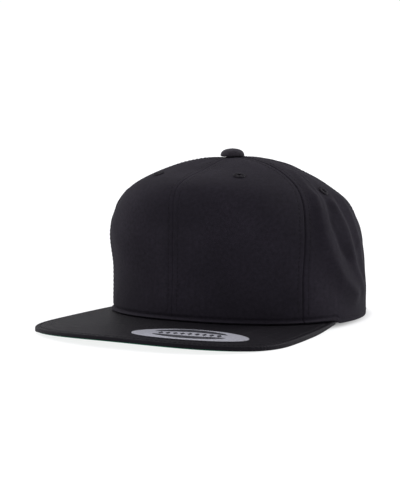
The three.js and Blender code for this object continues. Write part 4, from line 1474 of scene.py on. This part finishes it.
def build_floor():
    mesh = bpy.data.meshes.new("studio_floor")
    reach = FLOOR_REACH
    corners = [(-reach, -reach, 0), (reach, -reach, 0), (reach, reach, 0), (-reach, reach, 0)]
    mesh.from_pydata(corners, [], [(0, 1, 2, 3)])
    floor = bpy.data.objects.new("studio_floor", mesh)
    bpy.context.scene.collection.objects.link(floor)
    settings = {
        "Base Color": linear("#707074"),
        "Roughness": 0.9,
        "Emission Color": linear("#ffffff"),
    }
    material, tree, shader = new_material("lit_white_acrylic_with_painted_shade", settings)
    place = add(tree, "ShaderNodeTexCoord")
    shares = {"Location": (0, -SHIFT[1] / HALF_LENGTH, 0), "Scale": (1 / HALF_WIDTH, 1 / HALF_LENGTH, 0)}
    oval = add(tree, "ShaderNodeMapping", shares, Vector=place.outputs["Object"])
    far = add(tree, "ShaderNodeVectorMath", {"operation": "LENGTH"}, Vector=oval.outputs["Vector"])
    # In the oval under the cap the glow falls to a low value: painted shade under the cap, with a faint
    # painted shadow at its soft edge.
    lit = {"From Min": 0.9, "From Max": 1.1, "To Min": UNDER_CAP_PAINTED_SHADE, "To Max": FLOOR_GLOW}
    glow = add(tree, "ShaderNodeMapRange", lit, Value=far.outputs["Value"])
    tree.links.new(glow.outputs["Result"], shader.inputs["Emission Strength"])
    mesh.materials.append(material)
    return floor


def build_sky(horizon, overhead):
    """A pale horizon and a dimmer ceiling."""
    world = bpy.data.worlds.new("studio")
    bpy.context.scene.world = world
    world.use_nodes = True
    tree = world.node_tree
    tree.nodes.clear()
    place = add(tree, "ShaderNodeTexCoord")
    split = add(tree, "ShaderNodeSeparateXYZ", Vector=place.outputs["Generated"])
    strength = add(
        tree,
        "ShaderNodeMapRange",
        {"From Min": 0.16, "From Max": 0.40, "To Min": horizon, "To Max": overhead},
        Value=split.outputs["Z"],
    )
    light = add(
        tree,
        "ShaderNodeBackground",
        {"Color": linear("#fcfcff")},
        Strength=strength.outputs["Result"],
    )
    add(tree, "ShaderNodeOutputWorld", Surface=light.outputs["Background"])


build_floor()
build_sky(1.05, 0.40)

# %% Soft lamps
def soft_lamp(name, towards, strength, spread):
    """A far lamp behind cloth, in a direction seen from the cap; its spread softens the shade."""
    lamp = bpy.data.lights.new(name, "SUN")
    lamp.energy = strength
    lamp.angle = math.radians(spread)
    light = bpy.data.objects.new(name, lamp)
    bpy.context.scene.collection.objects.link(light)
    light.location = Vector(towards).normalized() * 2
    light.rotation_mode = "QUATERNION"
    light.rotation_quaternion = Vector(towards).to_track_quat("Z", "Y")
    return light


soft_lamp("key_cloth", (-0.76, 0.02, 0.65), 1.9, 60)
soft_lamp("rear_cloth", (0.55, 0.85, 0.60), 1.9, 20)
soft_lamp("top_cloth", (0.05, -0.35, 0.95), 0.9, 90)

# %% Camera
AZIMUTH = math.radians(29.68)
ELEVATION = math.radians(5.61)
DISTANCE = 0.9
AIM = Vector((-10.66 * MM, -7.05 * MM, 49.52 * MM))
FOCAL_PIXELS = 1290
PHOTO_HEIGHT_PIXELS = 500

camera_data = bpy.data.cameras.new("camera")
camera = bpy.data.objects.new("camera", camera_data)
bpy.context.scene.collection.objects.link(camera)
camera_data.sensor_width = 36
camera_data.lens = camera_data.sensor_width * FOCAL_PIXELS / PHOTO_HEIGHT_PIXELS
back = Vector(
    (
        math.sin(AZIMUTH) * math.cos(ELEVATION),
        -math.cos(AZIMUTH) * math.cos(ELEVATION),
        math.sin(ELEVATION),
    )
)
camera.location = AIM + back * DISTANCE
camera.rotation_mode = "QUATERNION"
camera.rotation_quaternion = back.to_track_quat("Z", "Y")
bpy.context.scene.camera = camera
bpy.context.scene.view_settings.view_transform = "Standard"
print("focal length, mm:", round(camera_data.lens, 1))
